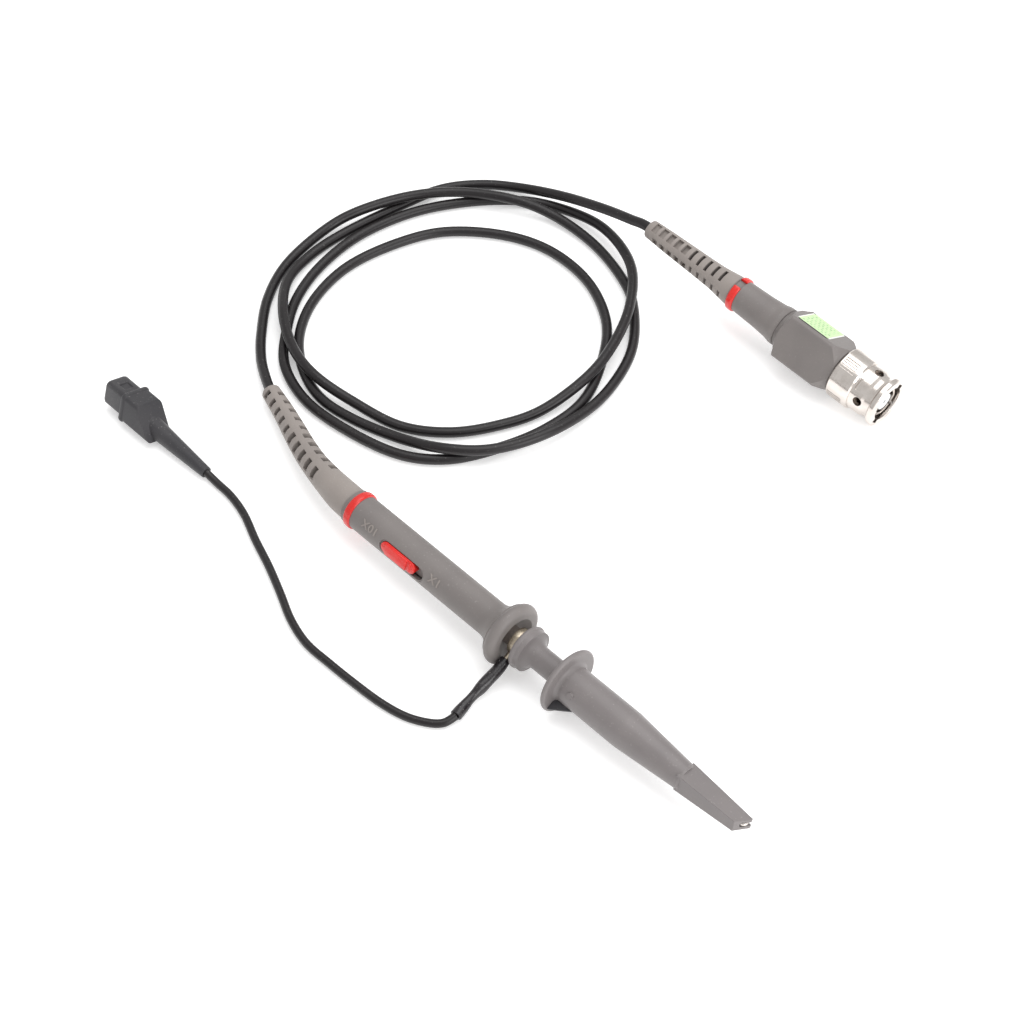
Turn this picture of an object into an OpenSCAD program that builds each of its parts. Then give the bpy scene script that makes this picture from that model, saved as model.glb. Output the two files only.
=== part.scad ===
// Passive 1X / 10X oscilloscope probe: probe head with a sprung hook tip, a loosely
// coiled cable, a bayonet connector and a ground lead with a booted clip.
// It lies on a bench at z = 0. X runs along the head towards the hook tip. Millimetres.

/* [Probe head] */
// diameter of the handle barrel
handle_d = 9.3; // [8:0.1:11]
// diameter of the finger guard on the handle
guard_d = 16.8; // [14:0.1:20]
// diameter of the finger flange on the hook sleeve
hook_flange_d = 17.2; // [14:0.1:20]
// diameter of the hook sleeve's barrel
sleeve_d = 9.8; // [8.6:0.1:10.6]
// travel of the attenuation slider
slider_travel = 2.5; // [2:0.1:3]
// angle of the slider above the horizontal, round the barrel
slot_turn = 19; // [0:1:90]

/* [Cable] */
// diameter of the probe cable
cable_d = 2.8; // [2:0.1:3.6]
// diameter of the ground lead
lead_d = 2.1; // [1.4:0.1:2.6]

/* [Connector] */
// width of the square connector housing
housing_w = 12.6; // [11:0.1:14]
// outer diameter of the bayonet coupling
coupling_d = 14.5; // [14:0.1:15]
// bore of the bayonet coupling
coupling_bore_d = 9.9; // [9.8:0.05:10.2]

/* [Shown piece] */
// name of the piece to show, or all

/* [Hidden] */

grey = [0.42, 0.40, 0.39];
pale_grey = [0.55, 0.52, 0.50];
red = [0.85, 0.10, 0.08];
dark = [0.08, 0.08, 0.08];
metal = [0.75, 0.74, 0.72];
gold = [0.80, 0.62, 0.30];
white = [0.92, 0.92, 0.90];
board_green = [0.10, 0.35, 0.20];

round_fn = 64;
small_fn = 32;
eps = 0.05;

// probe head, measured along X
axis_z = hook_flange_d / 2;
handle_r = handle_d / 2;
handle_rear = -65;
handle_wall_x = -14.5;
handle_bore_r = handle_r - 1.2;
marker_rear = -64.1;
marker_w = 2.2;
marker_groove_r = 4.05;
marker_r = 5.05;
guard_x = -9.9;
guard_half = 1.7;
guard_flare_r = 5;
guard_flare_x = -16.3;
dish_r = 7.5;
barrel_r = 2.5;
barrel_front = 0.5;
needle_r = 0.5;

// attenuation slider
slot_rear = -50.6;
slot_w = 3.6;
slider_w = 3.4;
slider_len = 11.8;
slot_len = slider_len + slider_travel + 0.2;
slider_rear = slot_rear + 0.1;

// hook tip
base_rear = -5.2;
base_front = 30;
neck_r = 3.05;
base_flange_r = 5.8;
flange_x = 9;
flange_half = 0.7;
sleeve_r = sleeve_d / 2;
sleeve_rear = 7.6;
taper_x = 28.5;
step_x = 47;
step_r = 3.4;
tip_x = 65;
shoulder_x = 44;
spring_room_r = 2.6;
hook_turn = 100;
nub_turn = 34;

// bayonet connector: its front rim, its slope and the roll of its housing
conn_at = [3.6, 121.8, 6.95];
conn_pitch = 5;
conn_yaw = 1.5;
house_roll = 58;
lip_u = -15.2;
house_rear_u = -33.5;
neck_rear_u = -52;
conn_boot_end_u = -82.9;
coupling_r = coupling_d / 2;
bore_r = coupling_bore_d / 2;
body_r = 4.5;
body_rear_u = -18.2;
body_flange_r = 5.6;
body_flange_t = 1.2;
contact_r = 4.05;

// ground lead: its ring, and the angle at which it leaves, below the horizontal
clip_ring_x = -6.8;
lead_turn = 31;
tab_len = 5.2;
lead_z = lead_d / 2 + eps;

// clip, in its own place
clip_at = [-141, -16, 4.95];
clip_roll = -18;
jaw_pivot = [13, -0.2];

// boot and cords, as points that their centre lines pass through
probe_boot_route = [
    [-65, 0, axis_z], [-70, 0.2, axis_z], [-76, 1.2, 7.9], [-83, 2.8, 6.8],
    [-90, 5, 5.7], [-97.5, 7.8, 4.8], [-105, 10.6, 3.9], [-112.8, 13.1, 3.2]
];
probe_boot_radii = [4.4, 4.3, 3.9, 3.5, 3.3, 3.1, 2.8, 2.5];

cable_route = [
    [-112.8, 13.1, 3.2], [-118.5, 16, 2.4], [-125, 20, 1.5], [-132, 26, 1.5],
    [-141, 36, 1.5], [-147.5, 48.5, 1.5], [-149.5, 64, 2.5], [-147, 75, 4.3],
    [-141.5, 89, 4.4], [-133, 100, 4.4], [-120.5, 108.5, 4.4], [-109, 113.5, 2.5],
    [-94, 114, 1.5], [-79.5, 110, 1.5], [-70, 104.5, 1.5], [-60, 94, 1.5],
    [-54.5, 82.5, 1.5], [-51.5, 69, 2.3], [-52, 53, 4.3], [-57.5, 40, 4.4],
    [-66, 31.5, 4.4], [-78, 27, 2.1], [-92, 23, 1.5], [-104, 22, 1.5],
    [-115.5, 26, 1.5], [-125, 33.5, 1.5], [-132, 45, 1.5], [-135, 59.5, 1.5],
    [-132.5, 75, 1.5], [-126.5, 88, 1.5], [-114.5, 98.5, 1.5], [-101, 103.5, 1.5],
    [-85.5, 102.5, 1.5], [-71.5, 95.5, 1.5], [-62, 84.5, 1.5], [-55, 70, 1.5],
    [-55, 55.5, 1.5], [-59, 42, 1.5], [-65, 31, 1.5], [-74.5, 23.5, 1.5],
    [-89, 19.5, 1.5], [-105, 18.5, 1.5], [-119, 23, 1.5], [-129, 32.5, 1.5],
    [-136, 42.5, 1.5], [-140.5, 55, 1.5], [-142, 70, 1.5], [-139, 85.5, 1.5],
    [-132.5, 98.5, 1.5], [-123, 110, 1.5], [-112, 117, 1.7], [-96, 119, 3.5],
    [-80, 113.5, 4.4], [-69, 102, 4.4], [-62, 88.5, 4.4], [-58.5, 75, 4.3],
    [-60, 60, 1.8], [-64.5, 48, 1.5], [-71.5, 37.5, 1.5], [-82, 30, 1.5],
    [-96, 26.5, 2.5], [-108.5, 24.5, 4.4], [-120, 27, 4.4], [-131.5, 33.5, 4.4],
    [-141.5, 43.5, 2.5], [-145.5, 55.5, 1.5], [-145.5, 69, 1.5], [-143, 86, 1.5],
    [-140, 99, 1.5], [-133.5, 108.5, 1.5], [-124, 115, 2.3], [-111, 118.5, 5.5],
    [-97, 119.4, 9.8], [-86, 119.5, 12.8], connector_point(conn_boot_end_u)
];

lead_route = [
    [-5.4, -22.2, 1.75], [-6.2, -25.4, 1.25], [-9, -28, lead_z],
    [-14, -30.5, lead_z], [-21, -32, lead_z], [-30, -32.7, lead_z],
    [-38, -33, lead_z], [-46, -33, lead_z], [-54, -31, lead_z],
    [-62, -27.5, lead_z], [-70.5, -24, lead_z], [-79, -21, lead_z],
    [-87, -17.8, lead_z], [-94, -16.2, lead_z], [-100, -16, 1.3], [-104, -16, 1.9]
];

shrink_route = [
    [clip_ring_x, -tab_len * cos(lead_turn), axis_z - tab_len * sin(lead_turn)],
    [-6.65, -7.8, 4.4], [-6.6, -11.4, 3.3], [-6.4, -15, 2.5], [-6, -18.8, 2],
    [-5.4, -22.2, 1.75]
];
shrink_radii = [1.3, 1.55, 1.6, 1.35, 1.6, 1.5];

// a point on the connector's axis, u behind its front rim
function connector_point(u) = conn_at + u * [
    cos(conn_pitch) * cos(conn_yaw), cos(conn_pitch) * sin(conn_yaw), -sin(conn_pitch)
];

// smooth curve through four points, between the middle two
function blend4(a, b, c, d, t) = 0.5 * (
    2 * b + (c - a) * t + (2 * a - 5 * b + 4 * c - d) * t * t
    + (3 * b - a - 3 * c + d) * t * t * t
);

// every point of a route with n steps from each to the next
function smooth(p, n) = [
    for (i = [0 : len(p) - 2])
        for (k = [0 : n - 1])
            blend4(p[max(i - 1, 0)], p[i], p[i + 1], p[min(i + 2, len(p) - 1)], k / n),
    p[len(p) - 1]
];

function unit(v) = v / norm(v);

function heading(p, i) = unit(p[min(i + 1, len(p) - 1)] - p[max(i - 1, 0)]);

function ring_points(p, i, r, sides, up) =
    let (t = heading(p, i), s = unit(cross(t, up)), w = cross(s, t))
    [for (k = [0 : sides - 1])
        p[i] + r * (cos(360 * k / sides) * s + sin(360 * k / sides) * w)];

// a round tube along points p, with one radius for each point
module tube_along(p, radii, sides, up = [0, 0, 1]) {
    n = len(p);
    body_points = [
        for (i = [0 : n - 1])
            for (q = ring_points(p, i, radii[i], sides, up)) q
    ];
    walls = [
        for (i = [0 : n - 2])
            for (k = [0 : sides - 1])
                [i * sides + k, i * sides + (k + 1) % sides,
                 (i + 1) * sides + (k + 1) % sides, (i + 1) * sides + k]
    ];
    first_cap = [[for (k = [0 : sides - 1]) sides - 1 - k]];
    last_cap = [[for (k = [0 : sides - 1]) (n - 1) * sides + k]];
    polyhedron(body_points, concat(walls, first_cap, last_cap));
}

// radii of equal size, one for each point
function even(p, r) = [for (q = p) r];

// puts local z along the head's axis
module on_head() {
    translate([0, 0, axis_z])
        rotate([0, 90, 0])
            children();
}

// as on_head, with local x pointing out of the slider's slot
module on_slot() {
    on_head()
        rotate([0, 0, 270 - slot_turn])
            children();
}

// puts local x along the connector's axis
module on_connector() {
    translate(conn_at)
        rotate([0, conn_pitch, conn_yaw])
            children();
}

// puts local z along the connector's axis
module turned_on_connector() {
    on_connector()
        rotate([0, 90, 0])
            children();
}

// square to the connector's housing: label side is +y
module on_housing() {
    on_connector()
        rotate([house_roll, 0, 0])
            children();
}

module on_clip() {
    translate(clip_at)
        rotate([clip_roll, 0, 0])
            children();
}

// a pipe between two places on a local z axis
module pipe(outer, inner, from, to, fn = round_fn) {
    translate([0, 0, from])
        difference() {
            cylinder(r = outer, h = to - from, $fn = fn);
            translate([0, 0, -1])
                cylinder(r = inner, h = to - from + 2, $fn = fn);
        }
}

// a rod between two places on a local z axis
module rod(r, from, to, fn = small_fn) {
    translate([0, 0, from])
        cylinder(r = r, h = to - from, $fn = fn);
}

// a slot with round ends, cut or raised along local x
module stadium(w, from, len, low, high) {
    translate([low, -w / 2, from + w / 2])
        cube([high - low, w, len - w]);
    for (z = [from + w / 2, from + len - w / 2])
        translate([low, 0, z])
            rotate([0, 90, 0])
                cylinder(r = w / 2, h = high - low, $fn = small_fn);
}

// a square with round corners, extruded along local x
module block(w, h, corner, from, to) {
    translate([from, 0, 0])
        rotate([90, 0, 90])
            linear_extrude(to - from)
                union() {
                    square([w - 2 * corner, h], center = true);
                    square([w, h - 2 * corner], center = true);
                    for (y = [-1, 1], z = [-1, 1])
                        translate([y * (w / 2 - corner), z * (h / 2 - corner)])
                            circle(r = corner, $fn = small_fn);
                }
}

// ---------------------------------------------------------------- probe head

module handle_section() {
    translate([0, handle_rear])
        square([handle_r, guard_x - handle_rear]);
    translate([0, guard_x - guard_half])
        square([guard_d / 2 - guard_half, 2 * guard_half]);
    translate([guard_d / 2 - guard_half, guard_x])
        circle(r = guard_half, $fn = small_fn);
    difference() {
        translate([0, guard_flare_x])
            square([guard_d / 2 - 1.1, guard_x - guard_flare_x]);
        translate([handle_r + guard_flare_r, guard_flare_x])
            circle(r = guard_flare_r, $fn = round_fn);
    }
}

module handle_shell() {
    dish_x = guard_x + guard_half + 5.2;
    color(grey)
        difference() {
            on_head()
                rotate_extrude($fn = round_fn)
                    handle_section();
            on_head() {
                rod(handle_bore_r, handle_rear - 1, handle_wall_x, round_fn);
                rod(barrel_r + eps, handle_wall_x - 1, 0, round_fn);
                pipe(guard_d, marker_groove_r, marker_rear, marker_rear + marker_w);
                translate([0, 0, dish_x])
                    sphere(r = dish_r, $fn = round_fn);
            }
            on_slot() {
                stadium(slot_w, slot_rear, slot_len, handle_bore_r - 1, handle_r + 1);
                stadium(slot_w + 0.8, slot_rear - 0.4, slot_len + 0.8, handle_r - 0.45,
                        handle_r + 1);
            }
        }
}

module probe_marker_ring() {
    outer_round = 0.5;
    color(red)
        on_head()
            rotate_extrude($fn = round_fn)
                difference() {
                    translate([marker_groove_r, marker_rear])
                        square([marker_r - marker_groove_r, marker_w]);
                    for (x = [marker_rear, marker_rear + marker_w])
                        translate([marker_r, x])
                            rotate(45)
                                square(outer_round, center = true);
                }
}

module switch_slider() {
    foot_in = handle_bore_r - 0.8;
    foot_out = handle_bore_r - 0.1;
    foot_w = 4.8;
    foot_front = slot_rear + slot_len;
    grip_lead = 1.4;
    color(red)
        on_slot()
            union() {
                intersection() {
                    pipe(handle_r + 0.1, foot_in, slider_rear, slider_rear + slider_len);
                    stadium(slider_w, slider_rear, slider_len, 1, handle_r + 1);
                }
                intersection() {
                    pipe(handle_r + 0.45, foot_in, slider_rear + grip_lead,
                         slider_rear + slider_len - 2 * grip_lead);
                    translate([1, -slider_w / 2, slider_rear])
                        cube([handle_r, slider_w, slider_len]);
                }
                intersection() {
                    pipe(foot_out, foot_in, slider_rear + 1, foot_front);
                    translate([1, -foot_w / 2, slider_rear])
                        cube([handle_r, foot_w, slot_len]);
                }
            }
}

module switch_contact() {
    strip_t = 0.2;
    strip_w = 1.6;
    strip_out = handle_bore_r - 0.95;
    strip_in = 0.8;
    color(gold)
        on_slot() {
            translate([strip_out - strip_t, -strip_w / 2, slider_rear + 2])
                cube([strip_t, strip_w, 6]);
            for (z = [slider_rear + 2, slider_rear + 7.4])
                translate([strip_in, -strip_w / 2, z])
                    cube([strip_out - strip_in, strip_w, 0.6]);
        }
}

board_t = 1;
board_rear = -58;
board_front = -21;

module circuit_board() {
    board_w = 2 * handle_bore_r - 0.2;
    color(board_green)
        on_slot()
            difference() {
                translate([-board_t / 2, -board_w / 2, board_rear])
                    cube([board_t, board_w, board_front - board_rear]);
                for (z = [-55, -24])
                    translate([-1, 0, z])
                        rotate([0, 90, 0])
                            cylinder(r = 0.5, h = 2, $fn = small_fn);
            }
}

module tip_resistor() {
    body_x = -1.65;
    lead_r = 0.25;
    color([0.75, 0.65, 0.45])
        on_slot() {
            translate([body_x, 0, 0])
                rod(1, -36, -29);
            translate([body_x, 0, 0])
                rod(lead_r, -38, -27);
            for (z = [-38 + lead_r, -27 - lead_r])
                translate([body_x, 0, z])
                    rotate([0, 90, 0])
                        cylinder(r = lead_r, h = -body_x - board_t / 2, $fn = small_fn);
        }
}

module tip_capacitor() {
    color([0.70, 0.50, 0.25])
        on_slot()
            translate([-board_t / 2 - 1.4, -1.6, -46])
                cube([1.4, 3.2, 4]);
}

module ground_barrel() {
    flange_w = 2.6;
    color(metal)
        on_head()
            difference() {
                union() {
                    rod(barrel_r, -20, barrel_front, round_fn);
                    rod(handle_bore_r - 0.05, handle_wall_x - flange_w, handle_wall_x, round_fn);
                }
                rod(1.5, -21, barrel_front + 1, round_fn);
            }
}

module nose_insulator() {
    color(white)
        on_head()
            pipe(1.48, needle_r + 0.02, -20, 2.4, small_fn);
}

module probe_needle() {
    point_len = 1.5;
    needle_front = 9;
    color(metal)
        on_head() {
            rod(needle_r, board_front + 0.2, needle_front);
            translate([0, 0, needle_front])
                cylinder(r1 = needle_r, r2 = 0.1, h = point_len, $fn = small_fn);
        }
}

// ------------------------------------------------------------------ hook tip

module hook_base() {
    rim_half = 0.75;
    flare_r = 2.6;
    flare_x = 0.2;
    color(grey)
        on_head()
            difference() {
                rotate_extrude($fn = round_fn)
                    union() {
                        translate([0, base_rear])
                            square([neck_r, base_front - base_rear]);
                        translate([0, base_rear])
                            square([base_flange_r - rim_half, 2 * rim_half]);
                        translate([base_flange_r - rim_half, base_rear + rim_half])
                            circle(r = rim_half, $fn = small_fn);
                        difference() {
                            translate([0, base_rear + rim_half])
                                square([neck_r + flare_r - 0.2, flare_x - base_rear - rim_half]);
                            translate([neck_r + flare_r, flare_x])
                                circle(r = flare_r, $fn = round_fn);
                        }
                    }
                rod(barrel_r + eps, base_rear - 1, barrel_front + 0.3, round_fn);
                rod(1.62, 0, 15, small_fn);
                rod(0.6, 14, base_front + 1, small_fn);
            }
}

socket_rear = 2.8;
socket_front = 14.8;

module hook_socket() {
    color(gold)
        on_head()
            difference() {
                rod(1.6, socket_rear, socket_front);
                rod(needle_r + eps, socket_rear - 1, 11.5);
            }
}

module hook_spring() {
    wire_r = 0.28;
    coil_r = 1.9;
    turns = 7;
    steps = 14;
    from = base_front + wire_r;
    reach = shoulder_x - base_front - 2 * wire_r;
    route = [
        for (i = [0 : turns * steps])
            [from + reach * i / (turns * steps),
             coil_r * cos(360 * i / steps),
             axis_z + coil_r * sin(360 * i / steps)]
    ];
    color(metal)
        tube_along(route, even(route, wire_r), 6, [1, 0, 0]);
}

module hook_wire() {
    wire_r = 0.4;
    bend_r = 0.85;
    bend_x = tip_x - 1.6;
    color(metal)
        on_head() {
            rod(wire_r, socket_front, bend_x);
            rotate([0, 0, 180 - hook_turn]) {
                translate([bend_r, 0, bend_x])
                    difference() {
                        rotate([90, 0, 0])
                            rotate_extrude($fn = round_fn)
                                translate([bend_r, 0])
                                    circle(r = wire_r, $fn = small_fn);
                        translate([-2, -2, -4])
                            cube(4);
                    }
                translate([2 * bend_r, 0, bend_x - 1.2])
                    cylinder(r = wire_r, h = 1.2, $fn = small_fn);
            }
        }
}

module sleeve_section() {
    fillet = 1.1;
    translate([0, sleeve_rear])
        square([sleeve_r, taper_x - sleeve_rear]);
    translate([0, flange_x - flange_half])
        square([hook_flange_d / 2 - flange_half, 2 * flange_half]);
    translate([hook_flange_d / 2 - flange_half, flange_x])
        circle(r = flange_half, $fn = small_fn);
    difference() {
        translate([0, flange_x])
            square([sleeve_r + fillet, flange_half + fillet]);
        translate([sleeve_r + fillet, flange_x + flange_half + fillet])
            circle(r = fillet, $fn = small_fn);
    }
    polygon([
        [0, taper_x], [sleeve_r, taper_x], [step_r, step_x - 0.5],
        [step_r - 0.35, step_x], [0, step_x]
    ]);
}

// the flat-sided end of the sleeve, with local z along the head
module flat_tip() {
    rear_half = 2.85;
    front_half = 1.95;
    side_rear_half = 2.5;
    side_front_half = 1.5;
    len = tip_x - step_x + 1;
    intersection() {
        translate([0, 4, step_x - 1])
            rotate([90, 0, 0])
                linear_extrude(8)
                    polygon([[-rear_half, 0], [rear_half, 0],
                             [front_half, len], [-front_half, len]]);
        translate([-4, 0, step_x - 1])
            rotate([90, 0, 90])
                linear_extrude(8)
                    polygon([[-side_rear_half, 0], [side_rear_half, 0],
                             [side_front_half, len], [-side_front_half, len]]);
    }
}

module hook_sleeve() {
    fin_t = 0.8;
    fin_turn = 27;
    nub_x = 13.9;
    slit_w = 1.1;
    nose_slant = 30;
    color(grey)
        difference() {
            union() {
                on_head()
                    rotate_extrude($fn = round_fn)
                        sleeve_section();
                on_head()
                    rotate([0, 0, 180 - hook_turn])
                        flat_tip();
                on_head()
                    rotate([0, 0, 270 + fin_turn])
                        translate([sleeve_r - 1, fin_t / 2, flange_x])
                            rotate([90, 0, 0])
                                linear_extrude(fin_t)
                                    polygon([[0, 0], [4, 0], [4, 0.9], [0, 7.4]]);
                on_head()
                    rotate([0, 0, 270 - nub_turn])
                        translate([sleeve_r - 0.5, 0, nub_x])
                            rotate([0, 90, 0])
                                cylinder(r = 0.8, h = 0.85, $fn = small_fn);
            }
            on_head() {
                rod(neck_r + 0.07, sleeve_rear - 1, 38, round_fn);
                rod(spring_room_r, 37, shoulder_x, round_fn);
                rod(0.75, shoulder_x - 1, tip_x + 1, small_fn);
            }
            on_head()
                rotate([0, 0, 180 - hook_turn])
                    translate([-0.7, -slit_w / 2, tip_x - 9])
                        cube([4, slit_w, 12]);
            on_head()
                rotate([0, 0, 180 - hook_turn])
                    translate([-4, -4, tip_x - 3.2])
                        rotate([0, -nose_slant, 0])
                            cube([9, 8, 6]);
        }
}

// --------------------------------------------------------- boots and cable

module probe_boot() {
    path = smooth(probe_boot_route, 4);
    radii = smooth(probe_boot_radii, 4);
    last = len(path) - 1;
    tunnel = [for (i = [0 : last - 2]) path[i]];
    first_window = 9.9;
    windows = 10;
    row_turn = -48;
    color(pale_grey)
        difference() {
            tube_along(path, radii, 28);
            tube_along(tunnel, even(tunnel, 1.55), 12);
            for (k = [0 : windows - 1], side = [0 : 3]) {
                i = first_window + 1.9 * k - (side % 2) * 0.95;
                window_l = 1.9 - 0.055 * k;
                window_w = 3.6 - 0.13 * k;
                a = path[floor(i)];
                b = path[floor(i) + 1];
                at = a + (i - floor(i)) * (b - a);
                t = unit(b - a);
                translate(at)
                    rotate([0, asin(-t[2]), atan2(t[1], t[0])])
                        rotate([90 * side + row_turn, 0, 0])
                            translate([-window_l / 2, -window_w / 2, 1.1])
                                cube([window_l, window_w, 4]);
            }
        }
}

module main_cable() {
    color(dark)
        tube_along(cable_route, even(cable_route, cable_d / 2), 8);
}

module connector_boot() {
    big_r = 4.35;
    windows = 10;
    pitch = 2.66;
    first = conn_boot_end_u + 2.9;
    color(pale_grey)
        difference() {
            turned_on_connector()
                rotate_extrude($fn = round_fn)
                    polygon([
                        [0, conn_boot_end_u], [2.5, conn_boot_end_u],
                        [2.7, conn_boot_end_u + 0.3], [3.5, -59],
                        [4, -55], [big_r, neck_rear_u], [0, neck_rear_u]
                    ]);
            turned_on_connector()
                rod(1.55, conn_boot_end_u + 1.2, neck_rear_u + 1, round_fn);
            for (k = [0 : windows - 1], side = [0 : 3]) {
                deep = k > 4;
                window_l = deep ? 1 : 1.7;
                window_w = deep ? 3.4 : 2.7;
                from = deep ? 1.1 : 1.9;
                on_connector()
                    rotate([90 * side + 15, 0, 0])
                        translate([first + pitch * (k - (side % 2) / 2) - window_l / 2,
                                   -window_w / 2, from])
                            cube([window_l, window_w, 4]);
            }
        }
}

// ---------------------------------------------------------- connector housing

conn_ring_u = -51.8;

module connector_marker_ring() {
    gap_w = 2.4;
    gap_roll = 3;
    color(red)
        difference() {
            turned_on_connector()
                pipe(4.95, 4, conn_ring_u, conn_ring_u + marker_w);
            on_connector()
                rotate([gap_roll, 0, 0])
                    translate([conn_ring_u - 1, -gap_w / 2, 0])
                        cube([marker_w + 2, gap_w, 8]);
        }
}

module connector_housing() {
    wall = 1.6;
    corner = 1;
    reach = housing_w * 0.73;
    color(grey)
        difference() {
            union() {
                intersection() {
                    on_housing()
                        block(housing_w, housing_w, corner, house_rear_u, lip_u);
                    turned_on_connector()
                        rotate_extrude($fn = round_fn)
                            polygon([
                                [0, house_rear_u], [6.4, house_rear_u],
                                [7, house_rear_u + 0.7], [reach, house_rear_u + 1.6],
                                [reach, lip_u - 4.4], [6.75, lip_u - 0.7],
                                [6.6, lip_u], [0, lip_u]
                            ]);
                }
                turned_on_connector()
                    rotate_extrude($fn = round_fn)
                        polygon([
                            [0, neck_rear_u], [4.4, neck_rear_u], [4.5, -49],
                            [4.75, -42], [5.1, -38], [5.5, -36.4], [5.5, -35],
                            [5.15, -34.8], [5.15, -34.3], [5.7, -34.1],
                            [5.7, house_rear_u + 1], [0, house_rear_u + 1]
                        ]);
            }
            on_housing()
                block(housing_w - 2 * wall, housing_w - 2 * wall, 0.5, -31.8, -18.2);
            turned_on_connector() {
                rod(3.2, neck_rear_u - 1, -30, round_fn);
                rod(body_r, -20, lip_u + 1, round_fn);
                rod(body_flange_r, body_rear_u - 0.3, body_rear_u + body_flange_t, round_fn);
                pipe(8, 4, conn_ring_u, conn_ring_u + marker_w);
            }
            on_housing()
                translate([-25, 0, -housing_w / 2 - 1])
                    cylinder(r = 1.4, h = 3, $fn = small_fn);
        }
}

module housing_label() {
    label_t = 0.15;
    label_w = 10;
    color([0.75, 0.90, 0.65])
        on_housing()
            translate([-31.5, housing_w / 2, -label_w / 2])
                cube([10.6, label_t, label_w]);
}

module connector_board() {
    color(board_green)
        on_housing()
            translate([-31.6, -4.4, 0.2])
                cube([13, 8.8, 1]);
}

module trimmer_body() {
    color(white)
        on_housing()
            translate([-25, 0, -2])
                difference() {
                    cylinder(r = 2, h = 2.2, $fn = small_fn);
                    translate([0, 0, -1])
                        cylinder(r = 1.1, h = 2, $fn = small_fn);
                }
}

module trimmer_screw() {
    head_h = 1.6;
    color(gold)
        on_housing()
            translate([-25, 0, -1.05 - head_h])
                difference() {
                    union() {
                        cylinder(r = 1.05, h = head_h, $fn = small_fn);
                        cylinder(r = 1.3, h = 0.6, $fn = small_fn);
                    }
                    translate([-2, -0.2, -1])
                        cube([4, 0.4, 1.4]);
                }
}

// -------------------------------------------------------- bayonet connector

module bnc_body() {
    slot_w = 0.5;
    color(metal)
        difference() {
            turned_on_connector()
                difference() {
                    union() {
                        rod(body_flange_r, body_rear_u, body_rear_u + body_flange_t, round_fn);
                        rod(body_r, body_rear_u, -8.5, round_fn);
                        rod(contact_r, -9, -0.9, round_fn);
                    }
                    rod(2.4, -19, -11, round_fn);
                    rod(3.4, -12, 0, round_fn);
                    pipe(body_r + 1, body_r - 0.4, -11.4, -10.9);
                }
            for (side = [0 : 3])
                on_connector()
                    rotate([90 * side + 45, 0, 0])
                        translate([-6.5, -slot_w / 2, 2])
                            cube([7, slot_w, 3]);
        }
}

module bnc_insulator() {
    color(white)
        turned_on_connector()
            difference() {
                union() {
                    rod(3.38, -11, -5.6, round_fn);
                    rod(2.38, -17.5, -1, round_fn);
                }
                rod(0.7, -18, 0, small_fn);
            }
}

module bnc_pin() {
    pin_r = 0.68;
    color(gold)
        turned_on_connector() {
            rod(pin_r, -18.4, -2.2);
            translate([0, 0, -2.2])
                sphere(r = pin_r, $fn = small_fn);
        }
}

module bnc_gasket() {
    color([0.75, 0.30, 0.20])
        turned_on_connector()
            pipe(4.75, contact_r, -8.5, -7.7);
}

module bnc_retaining_ring() {
    gap_w = 1.6;
    color(metal)
        difference() {
            turned_on_connector()
                pipe(5.9, body_r - 0.4, -11.4, -10.9);
            on_connector()
                translate([-12, -gap_w / 2, 0])
                    cube([2, gap_w, 8]);
        }
}

module bnc_wave_spring() {
    inner = 4.8;
    outer = 5.9;
    half_t = 0.12;
    swing = 0.38;
    middle = -12;
    steps = 48;
    corners = [[inner, -half_t], [outer, -half_t], [outer, half_t], [inner, half_t]];
    wave_points = [
        for (i = [0 : steps - 1])
            for (c = corners)
                [c[0] * cos(360 * i / steps), c[0] * sin(360 * i / steps),
                 middle + c[1] + swing * sin(3 * 360 * i / steps)]
    ];
    walls = [
        for (i = [0 : steps - 1])
            for (k = [0 : 3])
                [i * 4 + k, i * 4 + (k + 1) % 4,
                 ((i + 1) % steps) * 4 + (k + 1) % 4, ((i + 1) % steps) * 4 + k]
    ];
    color(metal)
        turned_on_connector()
            polyhedron(wave_points, walls);
}

module bnc_thrust_washer() {
    color(metal)
        turned_on_connector()
            pipe(6.3, body_r + 0.07, -13, -12.6);
}

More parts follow.
